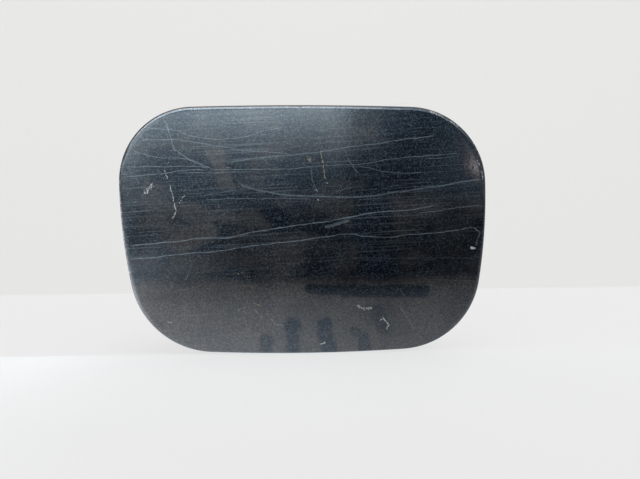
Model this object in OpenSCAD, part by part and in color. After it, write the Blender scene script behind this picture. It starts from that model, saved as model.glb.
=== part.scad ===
// Car fuel door: a hemmed, crowned steel panel on a short pin hinge with an over-centre leaf spring.
// Seen from outside the car X runs right, Z up and +Y into the car. The origin is the middle of the
// two bolt holes, on the rear face of the hinge bracket. Millimetres.

/* [Door outline] */
// Width at the widest level
door_w = 190; // [170:1:215]
// Height at the middle
door_h = 130; // [115:1:150]
// Height of the widest level over mid-height
widest_z = 20.5; // [10:0.5:26]
// Radius of the slightly bowed top edge
top_bow_r = 1990; // [1000:10:3000]
// Place of the top edge's highest point, from the middle towards the hinge side
top_bow_x = -23; // [-40:1:0]
// Radius of the slightly bowed bottom edge
bottom_bow_r = 1060; // [600:5:3000]
// Radius of the bowed sides
side_bow_r = 295; // [240:5:600]
// Radius of the two top corners
top_corner_r = 39.5; // [32:0.5:46]
// Radius of the two bottom corners
bottom_corner_r = 43; // [34:0.5:50]
// Sideways lean of the outline, as a share of the height
lean = 0.019; // [0:0.001:0.04]

/* [Crown] */
// Radius of the face's upright curve
crown_upright_r = 1000; // [750:50:2500]
// Radius of the face's level curve
crown_level_r = 2400; // [1600:100:6000]

/* [Sheet metal] */
// Thickness of the outer skin
skin_t = 0.8; // [0.6:0.05:1]
// Thickness of the inner panel
inner_t = 0.7; // [0.6:0.05:1]
// Gap left between sheets that lie on each other
sheet_gap = 0.1; // [0.05:0.01:0.15]
// How far in from the edge the soft, slightly flattened hem starts to turn
hem_reach = 2.2; // [1.6:0.1:2.6]
// Width of the hem's return flange, from the door's edge
hem_w = 9; // [7:0.5:10]
// Width of the inner panel's flat flange, from the door's edge
flange_w = 11.5; // [11:0.25:12]
// Run of the soft-shouldered wall between flange and field
wall_run = 3.2; // [3:0.1:3.6]
// Rise of the flat field over the flange
field_rise = 3; // [2.4:0.1:4]
// Width of the seam sealer bead
sealer_w = 2.6; // [2:0.2:3]

/* [Inner panel pressings] */
// Length of the two stiffening beads
bead_len = 102; // [60:2:112]
// Width of the beads
bead_w = 10; // [8:0.5:12]
// Depth of the beads, towards the skin
bead_depth = 2; // [1.2:0.1:2.2]
// Height of the beads over and under mid-height
bead_z = 27; // [25:0.5:30]
// Distance of the beads' middle from the door's middle
bead_x = -11; // [-14:1:-6]
// Diameter of the four tooling holes
tooling_hole_d = 8; // [5:0.5:9]
// Distance of the tooling holes from the mid-level
tooling_hole_z = 42; // [39:0.5:43]
// Distance between the tooling holes, left to right
tooling_pitch = 44; // [40:1:70]
// Width of the two drain slots
drain_w = 3; // [2:0.5:4]
// Distance between the drain slots
drain_pitch = 88; // [80:1:92]
// Diameter of the anti-flutter pads
pad_d = 8; // [5:0.5:9]
// Distance between the anti-flutter pads
pad_pitch = 40; // [25:1:44]

/* [Hinge] */
// Distance of the hinge axis from the door's left edge
axis_inset = 22; // [21:0.5:24]
// Height of the hinge axis over the inner panel's field
axis_rise = 8.6; // [8.4:0.1:10]
// Thickness of the hinge arm
arm_t = 1.5; // [1.2:0.1:1.6]
// Clear width inside the arm's two ears
arm_inner_w = 22; // [20:0.5:24]
// Inner radius of the arm's bends
arm_bend_r = 1.5; // [1:0.25:2.5]
// Radius of the arm's rounded cam corner
cam_corner_r = 7; // [6.6:0.1:7.2]
// Distance of the cam's flats from the axis
cam_flat = 5.5; // [5.3:0.1:5.8]
// Length of the arm's ears from the axis
ear_len = 26; // [22:1:30]
// Height of the ears at their far end
ear_toe_h = 5; // [4:0.25:7]
// Length of the arm's tongue from the axis
tongue_len = 50; // [46:1:54]
// Width of the arm's tongue
tongue_w = 32; // [28:1:36]
// Diameter of the spot welds
weld_d = 5; // [4:0.5:6]
// How far the stop tabs reach past the axis
stop_reach = 9.5; // [8.5:0.25:10.5]
// Width of the relief cuts at both ends of the ears
arm_relief = 1.2; // [0.8:0.1:1.5]

/* [Hinge bracket] */
// Thickness of the bracket
bracket_t = 2; // [1.5:0.25:3]
// Distance of the hinge axis from the bracket's web
stand_off = 25; // [22:1:28]
// Radius of the bracket's ears round the axis
bracket_head_r = 6.8; // [6:0.1:6.9]
// Inner radius of the bracket's bends
bracket_bend_r = 2; // [1:0.25:3]
// Length of the bracket's walls from the axis
wall_len = 22; // [18:1:23]
// Height of the walls at their far end
wall_toe_h = 6; // [5:0.5:9]
// Distance of the bolt holes from the hinge axis
bolt_reach = 31; // [30:0.5:34]
// Distance between the two bolt holes
bolt_pitch = 40; // [38:1:48]
// Diameter of the bolt holes
bolt_hole_d = 6.6; // [5.5:0.1:7]
// Width of metal left round a bolt hole
bolt_land = 7; // [6:0.5:8]

/* [Pin and bushes] */
// Diameter of the hinge pin
pin_d = 5; // [4:0.5:5]
// Diameter of the pin's head
pin_head_d = 9; // [8:0.5:10]
// Thickness of the pin's head
pin_head_t = 1.8; // [1.2:0.1:2.5]
// Wall of the nylon bushes
bush_wall = 1.05; // [0.9:0.05:1.1]
// Diameter of the bush flanges
bush_flange_d = 10; // [9:0.25:10.5]
// Thickness of the bush flanges
bush_flange_t = 0.8; // [0.6:0.1:1.2]
// Running clearance between pin and bush, on the radius
pin_clear = 0.05; // [0.03:0.01:0.08]
// Clearance of pieces pressed together, on the radius
press_clear = 0.02; // [0.01:0.01:0.04]
// Side play between bush flange and bracket ear
side_play = 0.2; // [0.1:0.05:0.4]
// Diameter of the washer over the retaining clip
washer_d = 9; // [8:0.5:10]
// Thickness of the washer
washer_t = 0.5; // [0.3:0.1:0.8]
// Thickness of the pin's retaining clip
clip_t = 0.7; // [0.5:0.1:1]
// Diameter of the retaining clip
clip_d = 10; // [9:0.5:11]

/* [Detent leaf] */
// Thickness of the leaf spring
leaf_t = 0.6; // [0.4:0.1:0.8]
// Width of the leaf spring
leaf_w = 24; // [18:1:25]
// Angle at which the leaf rises from its foot
leaf_rise_angle = 60; // [56:1:70]
// Radius of the leaf's bends, on the middle of the sheet
leaf_bend_r = 5; // [3.5:0.5:5.5]
// Length of the leaf's foot
leaf_foot = 14; // [12:0.5:15]
// Gap between leaf and cam flat
leaf_gap = 0.1; // [0.05:0.05:0.2]
// Diameter of the leaf's rivets
leaf_rivet_d = 3; // [2.5:0.5:4]
// Distance between the leaf's rivets
leaf_rivet_pitch = 12; // [9:0.5:13]

/* [Striker] */
// Distance of the striker from the door's right edge
striker_inset = 22; // [21:0.5:26]
// Thickness of the striker
striker_t = 1.5; // [1.2:0.1:2]
// Width of the striker
striker_w = 20; // [18:0.5:24]
// Height of the striker over the field
striker_h = 18; // [17:0.5:22]
// Length of the striker's foot
striker_foot = 17; // [15:0.5:20]
// Inner radius of the striker's bend
striker_bend_r = 2; // [1.5:0.25:3]
// Width of the window that the latch bolt enters
window_w = 9.5; // [8:0.25:11]
// Height of the window
window_h = 7.5; // [7:0.25:8]
// Height of the window's middle over the field
window_rise = 10.5; // [10:0.25:12]
// Diameter of the striker's rivets
striker_rivet_d = 3.2; // [2.5:0.1:4]
// Distance between the striker's rivets
striker_rivet_pitch = 10; // [8:0.5:11]

/* [Bump stops] */
// Distance of the bump stops from the door's right edge
bumper_inset = 37; // [34:0.5:42]
// Height of the bump stops over and under mid-height
bumper_z = 36; // [30:0.5:37]
// Diameter of the bump stops' heads
bumper_d = 13; // [10:0.5:14]
// Height of the heads over the field
bumper_h = 7.5; // [5:0.5:10]
// Diameter of the bump stops' necks
bumper_neck_d = 6; // [5:0.25:7]
// Depth of the barb behind the panel
bumper_barb_h = 2.2; // [1.6:0.1:2.4]

/* [Cap hook] */
// Distance of the cap hook from the door's middle
hook_x = 20; // [12:1:26]
// Width of the hook
hook_w = 14; // [10:0.5:18]
// Wall of the hook
hook_t = 2.4; // [2:0.1:3]
// Clear gap behind the hook's lip
hook_gap = 7; // [6:0.25:9]
// Height of the hook's lip over its shelf
hook_lip = 10; // [8:0.5:13]
// Width of the hook's base plate
hook_base_w = 20; // [18:0.5:24]
// Height of the hook's base plate
hook_base_h = 32; // [30:0.5:36]
// Diameter of the hook's snap pegs
peg_d = 5; // [4:0.25:5.5]
// Distance between the snap pegs
peg_pitch = 20; // [18:0.5:21]

/* [Hidden] */

paint = [0.09, 0.11, 0.16];
back_paint = [0.13, 0.15, 0.20];
zinc = [0.66, 0.67, 0.66];
dark_steel = [0.30, 0.31, 0.33];
nylon = [0.88, 0.86, 0.78];
rubber = [0.06, 0.06, 0.06];
sealer = [0.20, 0.22, 0.26];
black_plastic = [0.11, 0.11, 0.12];

$fn = 64;
over = 1; // how far a cutting body runs past what it cuts

// Steps of each part of the lofted outline, for one half of the door
bow_steps = 6;
corner_steps = 14;
side_steps = 7;
hem_steps = 8;
wall_steps = 6;
bend_steps = 8;

// Plan of the stack along Y, from the bracket's rear face out to the face of the door
axis_x = -bolt_reach;
axis_y = -bracket_t - stand_off;
field_y = axis_y - axis_rise;
door_x = axis_x - axis_inset + door_w / 2;

// The hem wraps the inner panel's edge
hem_in_r = inner_t / 2 + sheet_gap;
hem_out_r = hem_in_r + skin_t;
panel_front = skin_t + sheet_gap;
panel_back = panel_front + inner_t;
field_inset = flange_w + wall_run;
panel_edge = hem_reach + sheet_gap;

function crown(x, z) = x * x / (2 * crown_level_r) + z * z / (2 * crown_upright_r);

function heading(v) = atan2(v[1], v[0]);

// Where two circles meet: the upper or the lower of the two points
function meet(c1, r1, c2, r2, upper) =
    let (
        apart = norm(c2 - c1),
        along = (r1 * r1 - r2 * r2 + apart * apart) / (2 * apart),
        across = sqrt(r1 * r1 - along * along),
        unit = (c2 - c1) / apart,
        side = [-unit[1], unit[0]],
        p = c1 + along * unit + across * side,
        q = c1 + along * unit - across * side
    )
    (p[1] > q[1]) == upper ? p : q;

// Centres of the arcs that don't depend on the side
bottom_c = [0, bottom_bow_r - door_h / 2];
side_c = [door_w / 2 - side_bow_r, widest_z];
bottom_corner_c = meet(bottom_c, bottom_bow_r - bottom_corner_r, side_c, side_bow_r - bottom_corner_r, false);

function arc_points(c, r, from, to, steps) =
    [for (i = [0:steps - 1]) c + r * [cos(from + (to - from) * i / steps), sin(from + (to - from) * i / steps)]];

// Half of the outline from arcs that are tangent to the next, from the top's highest point down.
// side is 1 for the latch side, and -1 for the hinge side, which is drawn on the right and mirrored.
function half_outline(inset, side) =
    let (
        top_c = [side * top_bow_x, door_h / 2 - top_bow_r],
        top_corner_c = meet(top_c, top_bow_r - top_corner_r, side_c, side_bow_r - top_corner_r, true),
        a1 = heading(top_corner_c - top_c),
        a2 = heading(top_corner_c - side_c),
        a3 = heading(bottom_corner_c - side_c),
        a4 = heading(bottom_corner_c - bottom_c),
        arcs = concat(
            arc_points(top_c, top_bow_r - inset, 90, a1, bow_steps),
            arc_points(top_corner_c, top_corner_r - inset, a1, a2, corner_steps),
            arc_points(side_c, side_bow_r - inset, a2, a3, side_steps),
            arc_points(bottom_corner_c, bottom_corner_r - inset, a3, a4, corner_steps),
            arc_points(bottom_c, bottom_bow_r - inset, a4, -90, bow_steps)
        )
    )
    [for (p = arcs) [side * p[0], p[1]]];

// The whole outline, clockwise from the top's highest point, moved in by inset and leaned
function outline(inset) =
    let (right = half_outline(inset, 1), left = half_outline(inset, -1), last = len(left) - 1)
    [
        for (p = concat(right, [[0, inset - door_h / 2]], [for (i = [last:-1:1]) left[i]]))
        [p[0] - lean * p[1], p[1]]
    ];

// Deepest crown under the inner panel's flange, which the flat field has to clear
flange_crown = max([for (p = outline(flange_w)) crown(p[0], p[1])]);
field_depth = flange_crown + panel_back + field_rise;
face_y = field_y - field_depth;

// A ring lies at a depth under the face. share draws it in towards the door's middle, and follow
// says how much of the crown it takes up: 1 on the crowned sheets and 0 on the flat field.
function ring(inset, depth, share = 1, follow = 1) =
    [for (p = share * outline(inset)) [door_x + p[0], face_y + follow * crown(p[0], p[1]) + depth, p[1]]];

// Rings down the soft-shouldered wall, from the field to the flange
function wall_rings(flange_depth, top_depth, mitre) =
    [
        for (i = [wall_steps:-1:0])
        let (u = i / wall_steps, rise = u * u * (3 - 2 * u))
        ring(
            flange_w + wall_run * u + 4 * mitre * u * (1 - u),
            (1 - rise) * flange_depth + rise * top_depth,
            1,
            1 - rise
        )
    ];

function reversed(list) = [for (i = [len(list) - 1:-1:0]) list[i]];

// Half turn of rings round the hem, from the face to the return flange or back. wall is 0 on the
// outside of the sheet and the sheet's thickness on its inside.
function hem_rings(wall, from, to) =
    [
        for (i = [0:hem_steps])
        let (a = from + (to - from) * i / hem_steps)
        ring(hem_reach - (hem_reach - wall) * sin(a), hem_out_r - (hem_out_r - wall) * cos(a))
    ];

// Two triangles between rings a and b at their point i
function band(a, b, n, i) =
    let (j = (i + 1) % n)
    [[a * n + i, b * n + i, a * n + j], [b * n + i, b * n + j, a * n + j]];

// Sheet lofted through rings, from the middle of one side, over the edge, to the middle of the other
module closed_sheet(rings, first_middle, last_middle) {
    n = len(rings[0]);
    last = len(rings) - 1;
    points = concat([for (r = rings) each r], [first_middle, last_middle]);
    first_index = (last + 1) * n;
    faces = concat(
        [for (j = [0:last - 1]) for (i = [0:n - 1]) each band(j, j + 1, n, i)],
        [for (i = [0:n - 1]) [first_index, i, (i + 1) % n]],
        [for (i = [0:n - 1]) [first_index + 1, last * n + (i + 1) % n, last * n + i]]
    );
    polyhedron(points = points, faces = faces, convexity = 6);
}

// Bead lofted through rings whose last one meets the first
module closed_bead(rings) {
    n = len(rings[0]);
    count = len(rings);
    faces = [for (j = [0:count - 1]) for (i = [0:n - 1]) each band(j, (j + 1) % count, n, i)];
    polyhedron(points = [for (r = rings) each r], faces = faces, convexity = 6);
}

// Plan plate from x0 to x1, centred on y, with rounded corners
module round_plate(x0, x1, w, r) {
    translate([x0 + r, -w / 2]) square([x1 - x0 - 2 * r, w]);
    translate([x0, r - w / 2]) square([x1 - x0, w - 2 * r]);
    for (x = [x0 + r, x1 - r]) {
        for (y = [-1, 1]) {
            translate([x, y * (w / 2 - r)]) circle(r = r);
        }
    }
}

// Slot along x with round ends
module slot(length, w) {
    square([length - w, w], center = true);
    for (x = [-1, 1]) {
        translate([x * (length - w) / 2, 0]) circle(d = w);
    }
}

// Box from x = 0 to x = depth, rounded at the corners on x = 0
module round_end(depth, w, r) {
    translate([r, -w / 2]) square([depth - r, w]);
    translate([0, r - w / 2]) square([r + over, w - 2 * r]);
    for (y = [-1, 1]) {
        translate([r, y * (w / 2 - r)]) circle(r = r);
    }
}

// Section of a folded channel: its floor stands on x = 0 and its walls run to x = depth
module channel_section(depth, inner_w, t, bend_r) {
    difference() {
        round_end(depth, inner_w + 2 * t, bend_r + t);
        translate([t, 0]) round_end(depth, inner_w, bend_r);
    }
}

// Walks along the middle of a bent sheet: each step is [straight length, turn in degrees, bend radius].
// Gives each point with the way that the sheet faces there.
function walk(steps, i = 0, at = [0, 0], facing = 0) =
    i == len(steps) ? [[at, facing]] :
    let (
        turn = steps[i][1],
        r = (turn < 0 ? -1 : 1) * steps[i][2],
        corner = at + steps[i][0] * [cos(facing), sin(facing)],
        centre = corner + r * [-sin(facing), cos(facing)],
        bend = [for (k = [0:bend_steps]) facing + turn * k / bend_steps],
        curve = [for (a = bend) [centre + r * [sin(a), -cos(a)], a]]
    )
    concat(
        [[at, facing]],
        turn == 0 ? [] : [for (k = [0:bend_steps - 1]) curve[k]],
        walk(steps, i + 1, turn == 0 ? corner : curve[bend_steps][0], facing + turn)
    );

// Strip of sheet bent in plan and w high, from the steps of its walk
module bent_strip(steps, t, w) {
    path = walk(steps);
    last = len(path) - 1;
    side = [for (p = path) t / 2 * [-sin(p[1]), cos(p[1])]];
    linear_extrude(w, center = true)
        polygon(concat(
            [for (i = [0:last]) path[i][0] - side[i]],
            [for (i = [last:-1:0]) path[i][0] + side[i]]
        ));
}

// Places a child on the back of the field: its z runs into the car and its y runs down
module on_field(x, z, rise = 0) {
    translate([door_x + x, field_y + rise, z]) rotate([-90, 0, 0]) children();
}

// Extrudes a profile drawn in [Y, Z] along X
module along_x(from, to) {
    translate([from, 0, 0]) rotate([90, 0, 90]) linear_extrude(to - from) children();
}

// Outer skin: the crowned face, rolled round the edge into the return flange
module outer_skin() {
    face_shares = [0.25, 0.5, 0.75];
    near_edge = 16;
    color(paint)
        closed_sheet(
            concat(
                [for (k = face_shares) ring(near_edge, 0, k)],
                [ring(near_edge, 0)],
                hem_rings(0, 0, 180),
                [ring(hem_w, 2 * hem_out_r), ring(hem_w, 2 * hem_out_r - skin_t)],
                hem_rings(skin_t, 180, 0),
                [ring(near_edge, skin_t)],
                [for (i = [len(face_shares) - 1:-1:0]) ring(near_edge, skin_t, face_shares[i])]
            ),
            [door_x, face_y, 0],
            [door_x, face_y + skin_t, 0]
        );
}

// Sloped bead: the pocket that it leaves, or the outside of its thin wall
module bead_block(grow, depth, rise) {
    slope = 0.6;
    half = bead_len / 2 - bead_w / 2;
    hull() {
        for (x = [-half, half]) {
            translate([x, 0, -depth])
                cylinder(r1 = bead_w / 2 - slope * bead_depth + grow, r2 = bead_w / 2 + grow, h = depth + rise, $fn = 32);
        }
    }
}

tooling_xs = [bead_x - tooling_pitch / 2, bead_x + tooling_pitch / 2];
striker_x = door_w / 2 - striker_inset;
striker_rivet_x = striker_x - striker_foot / 2 - striker_t;
bumper_x = door_w / 2 - bumper_inset;
drain_z = field_inset + drain_w - door_h / 2;
striker_rivet_r = striker_rivet_d / 2;
peg_r = peg_d / 2;

// Inner panel: flange in the hem, sloped wall and flat field with beads and holes
module inner_panel() {
    field_front = field_depth - inner_t;
    color(back_paint)
        union() {
            difference() {
                closed_sheet(
                    concat(
                        wall_rings(panel_front, field_front, inner_t / 2),
                        [ring(panel_edge, panel_front), ring(panel_edge, panel_back)],
                        reversed(wall_rings(panel_back, field_depth, 0))
                    ),
                    [door_x, face_y + field_front, 0],
                    [door_x, field_y, 0]
                );
                for (side = [-1, 1]) {
                    on_field(bead_x, side * bead_z) bead_block(0, bead_depth, over);
                    on_field(striker_rivet_x, side * striker_rivet_pitch / 2)
                        cylinder(r = striker_rivet_r + press_clear, h = 4 * inner_t, center = true);
                    on_field(hook_x, side * peg_pitch / 2)
                        cylinder(r = peg_r + press_clear, h = 4 * inner_t, center = true);
                    on_field(bumper_x, side * bumper_z)
                        cylinder(d = bumper_neck_d + 2 * press_clear, h = 4 * inner_t, center = true);
                    for (x = tooling_xs) {
                        on_field(x, side * tooling_hole_z) cylinder(d = tooling_hole_d, h = 4 * inner_t, center = true);
                    }
                    on_field(side * drain_pitch / 2, drain_z)
                        linear_extrude(4 * inner_t, center = true) slot(4 * drain_w, drain_w);
                }
            }
            for (side = [-1, 1]) {
                on_field(bead_x, side * bead_z)
                    difference() {
                        bead_block(inner_t, bead_depth + inner_t, -0.001);
                        bead_block(0, bead_depth, over);
                    }
            }
        }
}

// Seam sealer: a bead in the step between the return flange and the inner panel
module hem_sealer() {
    step = hem_w + sheet_gap;
    back = 2 * hem_out_r;
    crest = 0.45;
    color(sealer)
        closed_bead([
            ring(step, panel_back + sheet_gap / 2),
            ring(step, back + sheet_gap / 2),
            ring(hem_w - 0.3 * sealer_w, back + sheet_gap / 2),
            ring(hem_w, back + crest),
            ring(hem_w + 0.35 * sealer_w, back + 0.1 * crest),
            ring(hem_w + 0.7 * sealer_w, panel_back + sheet_gap / 2)
        ]);
}

// Anti-flutter pads: squeezed between the skin and the inner panel's field
module antiflutter_pads() {
    for (x = [-pad_pitch, 0, pad_pitch]) {
        skin_depth = crown(abs(x) + pad_d / 2, pad_d / 2) + skin_t;
        color(rubber)
            on_field(x, 0, -inner_t - press_clear)
                mirror([0, 0, 1]) cylinder(d = pad_d, h = field_depth - inner_t - skin_depth - 2 * press_clear);
    }
}

ear_out_z = arm_inner_w / 2 + arm_t;
bush_in_r = pin_d / 2 + pin_clear;
bush_out_r = bush_in_r + bush_wall;
flange_out_z = ear_out_z + press_clear + bush_flange_t;
bracket_inner_w = 2 * (flange_out_z + side_play);
bracket_out_z = bracket_inner_w / 2 + bracket_t;
neck_w = arm_inner_w - 2 * arm_bend_r;

// Places a child on the hinge axis
module on_axis(z = 0) {
    translate([axis_x, axis_y, z]) children();
}

// Side view of the arm's ears: two flats and the cam corner between them, round the axis
module ear_profile() {
    intersection() {
        polygon([
            [-cam_flat, -axis_rise],
            [-cam_flat, cam_flat],
            [cam_flat, cam_flat],
            [ear_len, ear_toe_h - axis_rise],
            [ear_len, -axis_rise]
        ]);
        union() {
            circle(r = cam_corner_r);
            translate([-cam_flat, -axis_rise]) square([ear_len + cam_flat, axis_rise]);
            square([ear_len, cam_flat]);
        }
    }
}

// Plan of the arm's floor: tongue, neck between the ears and the two stop tabs
module arm_floor() {
    tongue_start = ear_len + arm_relief;
    tongue_corner_r = 5;
    round_plate(tongue_start, tongue_len, tongue_w, tongue_corner_r);
    translate([-stop_reach, -neck_w / 2]) square([tongue_start + stop_reach + tongue_corner_r, neck_w]);
    translate([-stop_reach, -tongue_w / 2]) square([stop_reach - cam_flat - arm_relief, tongue_w]);
}

// Hinge arm: a folded channel, spot-welded to the inner panel by its floor and tongue
module hinge_arm() {
    weld_dip = 0.2;
    weld_margin = 7;
    weld_z = tongue_w / 2 - weld_margin;
    floor_back = arm_t - axis_rise;
    welds = [
        [cam_flat, 0],
        [ear_len - weld_margin, 0],
        [ear_len + arm_relief + weld_margin, -weld_z],
        [ear_len + arm_relief + weld_margin, weld_z],
        [tongue_len - weld_margin, -weld_z],
        [tongue_len - weld_margin, weld_z]
    ];
    color(zinc)
        on_axis()
            difference() {
                union() {
                    intersection() {
                        translate([0, -axis_rise, 0])
                            along_x(-cam_flat, ear_len)
                                channel_section(axis_rise + cam_flat, arm_inner_w, arm_t, arm_bend_r);
                        linear_extrude(2 * ear_out_z, center = true) ear_profile();
                    }
                    translate([0, floor_back, 0]) rotate([90, 0, 0]) linear_extrude(arm_t) arm_floor();
                }
                cylinder(r = bush_out_r + press_clear, h = 2 * ear_out_z + over, center = true);
                for (w = welds) {
                    translate([w[0], floor_back, w[1]])
                        rotate([90, 0, 0]) cylinder(d = weld_d, h = 2 * weld_dip, center = true);
                }
            }
}

// Flanged bush, pressed into an ear from outside; its flange keeps the ears off the bracket
module bush() {
    bush_proud = 0.4;
    color(nylon)
        rotate_extrude()
            polygon([
                [bush_in_r, -arm_t - bush_proud],
                [bush_out_r, -arm_t - bush_proud],
                [bush_out_r, press_clear],
                [bush_flange_d / 2, press_clear],
                [bush_flange_d / 2, press_clear + bush_flange_t],
                [bush_in_r, press_clear + bush_flange_t]
            ]);
}

module upper_bush() {
    on_axis(ear_out_z) bush();
}

module lower_bush() {
    on_axis(-ear_out_z) mirror([0, 0, 1]) bush();
}

// The leaf rises from its foot on the web and lies flat under the cams
leaf_rise = stand_off - cam_flat - leaf_gap - leaf_t;
leaf_slant = (leaf_rise - 2 * leaf_bend_r * (1 - cos(leaf_rise_angle))) / sin(leaf_rise_angle);
leaf_run = 2 * leaf_bend_r * sin(leaf_rise_angle) + leaf_slant * cos(leaf_rise_angle);
leaf_contact = 4; // half length of the flat under the cams
leaf_rivet_x = leaf_contact + leaf_run + leaf_foot / 2;
leaf_rivet_r = leaf_rivet_d / 2;
leaf_sink_r = 1.6 * leaf_rivet_r;
leaf_sink_h = leaf_sink_r - leaf_rivet_r;

// Side view of the bracket's walls: round at the axis, straight on the stop side, sloped to the web
module wall_profile() {
    toe = [wall_len, stand_off + bracket_t - wall_toe_h];
    slope_start = heading(toe) - acos(bracket_head_r / norm(toe));
    circle(r = bracket_head_r);
    polygon([
        [-bracket_head_r, 0],
        [-bracket_head_r, stand_off + bracket_t],
        [wall_len, stand_off + bracket_t],
        toe,
        bracket_head_r * [cos(slope_start), sin(slope_start)],
        [0, 0]
    ]);
}

// Hinge bracket: a folded channel that holds the pin, with a foot for two bolts
module hinge_bracket() {
    foot_w = bolt_pitch + 2 * bolt_land;
    foot_neck_w = bracket_inner_w - 2 * bracket_bend_r;
    foot_corner_r = 5;
    color(dark_steel)
        difference() {
            union() {
                intersection() {
                    mirror([0, 1, 0])
                        along_x(axis_x - bracket_head_r, axis_x + wall_len)
                            channel_section(-axis_y + bracket_head_r, bracket_inner_w, bracket_t, bracket_bend_r);
                    on_axis() linear_extrude(2 * bracket_out_z, center = true) wall_profile();
                }
                rotate([90, 0, 0])
                    linear_extrude(bracket_t) {
                        round_plate(-bolt_land, bolt_land, foot_w, foot_corner_r);
                        translate([axis_x, -foot_neck_w / 2]) square([bolt_reach, foot_neck_w]);
                    }
            }
            on_axis() cylinder(r = pin_d / 2 + press_clear, h = 2 * bracket_out_z + over, center = true);
            for (side = [-1, 1]) {
                translate([0, 0, side * bolt_pitch / 2])
                    rotate([90, 0, 0]) cylinder(d = bolt_hole_d, h = 4 * bracket_t, center = true);
                translate([axis_x + leaf_rivet_x, 0, side * leaf_rivet_pitch / 2]) {
                    rotate([90, 0, 0]) cylinder(r = leaf_rivet_r + press_clear, h = 4 * bracket_t, center = true);
                    rotate([90, 0, 0])
                        cylinder(r1 = leaf_sink_r + press_clear, r2 = leaf_rivet_r + press_clear, h = leaf_sink_h);
                }
            }
        }
}

pin_groove_r = 0.76 * pin_d / 2;
clip_top = -bracket_out_z - washer_t - side_play;
clip_play = 0.05;

// Hinge pin: headed at the top, grooved for the clip at the bottom
module hinge_pin() {
    pin_r = pin_d / 2;
    pin_end = 1.6;
    chamfer = 0.5;
    groove_top = clip_top + clip_play;
    groove_bottom = clip_top - clip_t - clip_play;
    head_base = bracket_out_z + press_clear;
    color(zinc)
        on_axis()
            rotate_extrude()
                polygon([
                    [0, groove_bottom - pin_end],
                    [pin_r - chamfer, groove_bottom - pin_end],
                    [pin_r, groove_bottom - pin_end + chamfer],
                    [pin_r, groove_bottom],
                    [pin_groove_r, groove_bottom],
                    [pin_groove_r, groove_top],
                    [pin_r, groove_top],
                    [pin_r, head_base],
                    [pin_head_d / 2, head_base],
                    [pin_head_d / 2, head_base + pin_head_t - chamfer],
                    [pin_head_d / 2 - chamfer, head_base + pin_head_t],
                    [0, head_base + pin_head_t]
                ]);
}

// Pin washer: runs loose on the pin between the bracket's lower ear and the clip
module pin_washer() {
    color(zinc)
        on_axis(clip_top + side_play / 2)
            linear_extrude(washer_t)
                difference() {
                    circle(d = washer_d);
                    circle(r = pin_d / 2 + pin_clear);
                }
}

// Retaining clip: an open ring with three inner prongs that grip the pin's groove
module pin_clip() {
    grip_r = pin_groove_r + press_clear;
    relief_r = 0.7 * clip_d / 2;
    prong_w = 0.6 * pin_groove_r;
    mouth_w = 1.7 * pin_groove_r;
    color(dark_steel)
        on_axis(clip_top - clip_t)
            linear_extrude(clip_t)
                difference() {
                    circle(d = clip_d);
                    difference() {
                        circle(r = relief_r);
                        for (a = [-90, 30, 150]) {
                            rotate(a) translate([0, -prong_w / 2]) square([clip_d / 2, prong_w]);
                        }
                    }
                    circle(r = grip_r);
                    rotate(90) translate([0, -mouth_w / 2]) square([clip_d, mouth_w]);
                }
}

// Detent leaf: an S-shaped spring strip that the cam corners bend on their way over it
module detent_leaf() {
    tip_turn = 30;
    tip_bend_r = 2.5;
    tip_len = 0.4;
    color(zinc)
        difference() {
            on_axis()
                translate([leaf_contact + leaf_run + leaf_foot, stand_off - leaf_t / 2, 0])
                    rotate([0, 0, 180])
                        bent_strip(
                            [
                                [leaf_foot, leaf_rise_angle, leaf_bend_r],
                                [leaf_slant, -leaf_rise_angle, leaf_bend_r],
                                [2 * leaf_contact, -tip_turn, tip_bend_r],
                                [tip_len, 0, 0]
                            ],
                            leaf_t, leaf_w
                        );
            for (side = [-1, 1]) {
                translate([axis_x + leaf_rivet_x, -bracket_t, side * leaf_rivet_pitch / 2])
                    rotate([90, 0, 0]) cylinder(r = leaf_rivet_r + press_clear, h = 4 * leaf_t, center = true);
            }
        }
}

// Domed rivet head that stands on z = 0
module rivet_head(r, h) {
    rotate_extrude() polygon([[0, 0], [r, 0], [0.94 * r, 0.4 * h], [0.72 * r, 0.78 * h], [0.4 * r, 0.95 * h], [0, h]]);
}

// Leaf rivets: domed on the leaf, flush in the web's back, so that the bracket sits flat
module leaf_rivets() {
    flush = 0.05;
    grip = bracket_t + leaf_t;
    for (side = [-1, 1]) {
        color(dark_steel)
            translate([axis_x + leaf_rivet_x, 0, side * leaf_rivet_pitch / 2])
                rotate([90, 0, 0]) {
                    translate([0, 0, flush]) cylinder(r = leaf_rivet_r, h = grip - flush);
                    translate([0, 0, flush]) cylinder(r1 = leaf_sink_r - flush, r2 = leaf_rivet_r, h = leaf_sink_h - flush);
                    translate([0, 0, grip]) rivet_head(1.75 * leaf_rivet_r, 0.8 * leaf_rivet_r);
                }
    }
}

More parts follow.
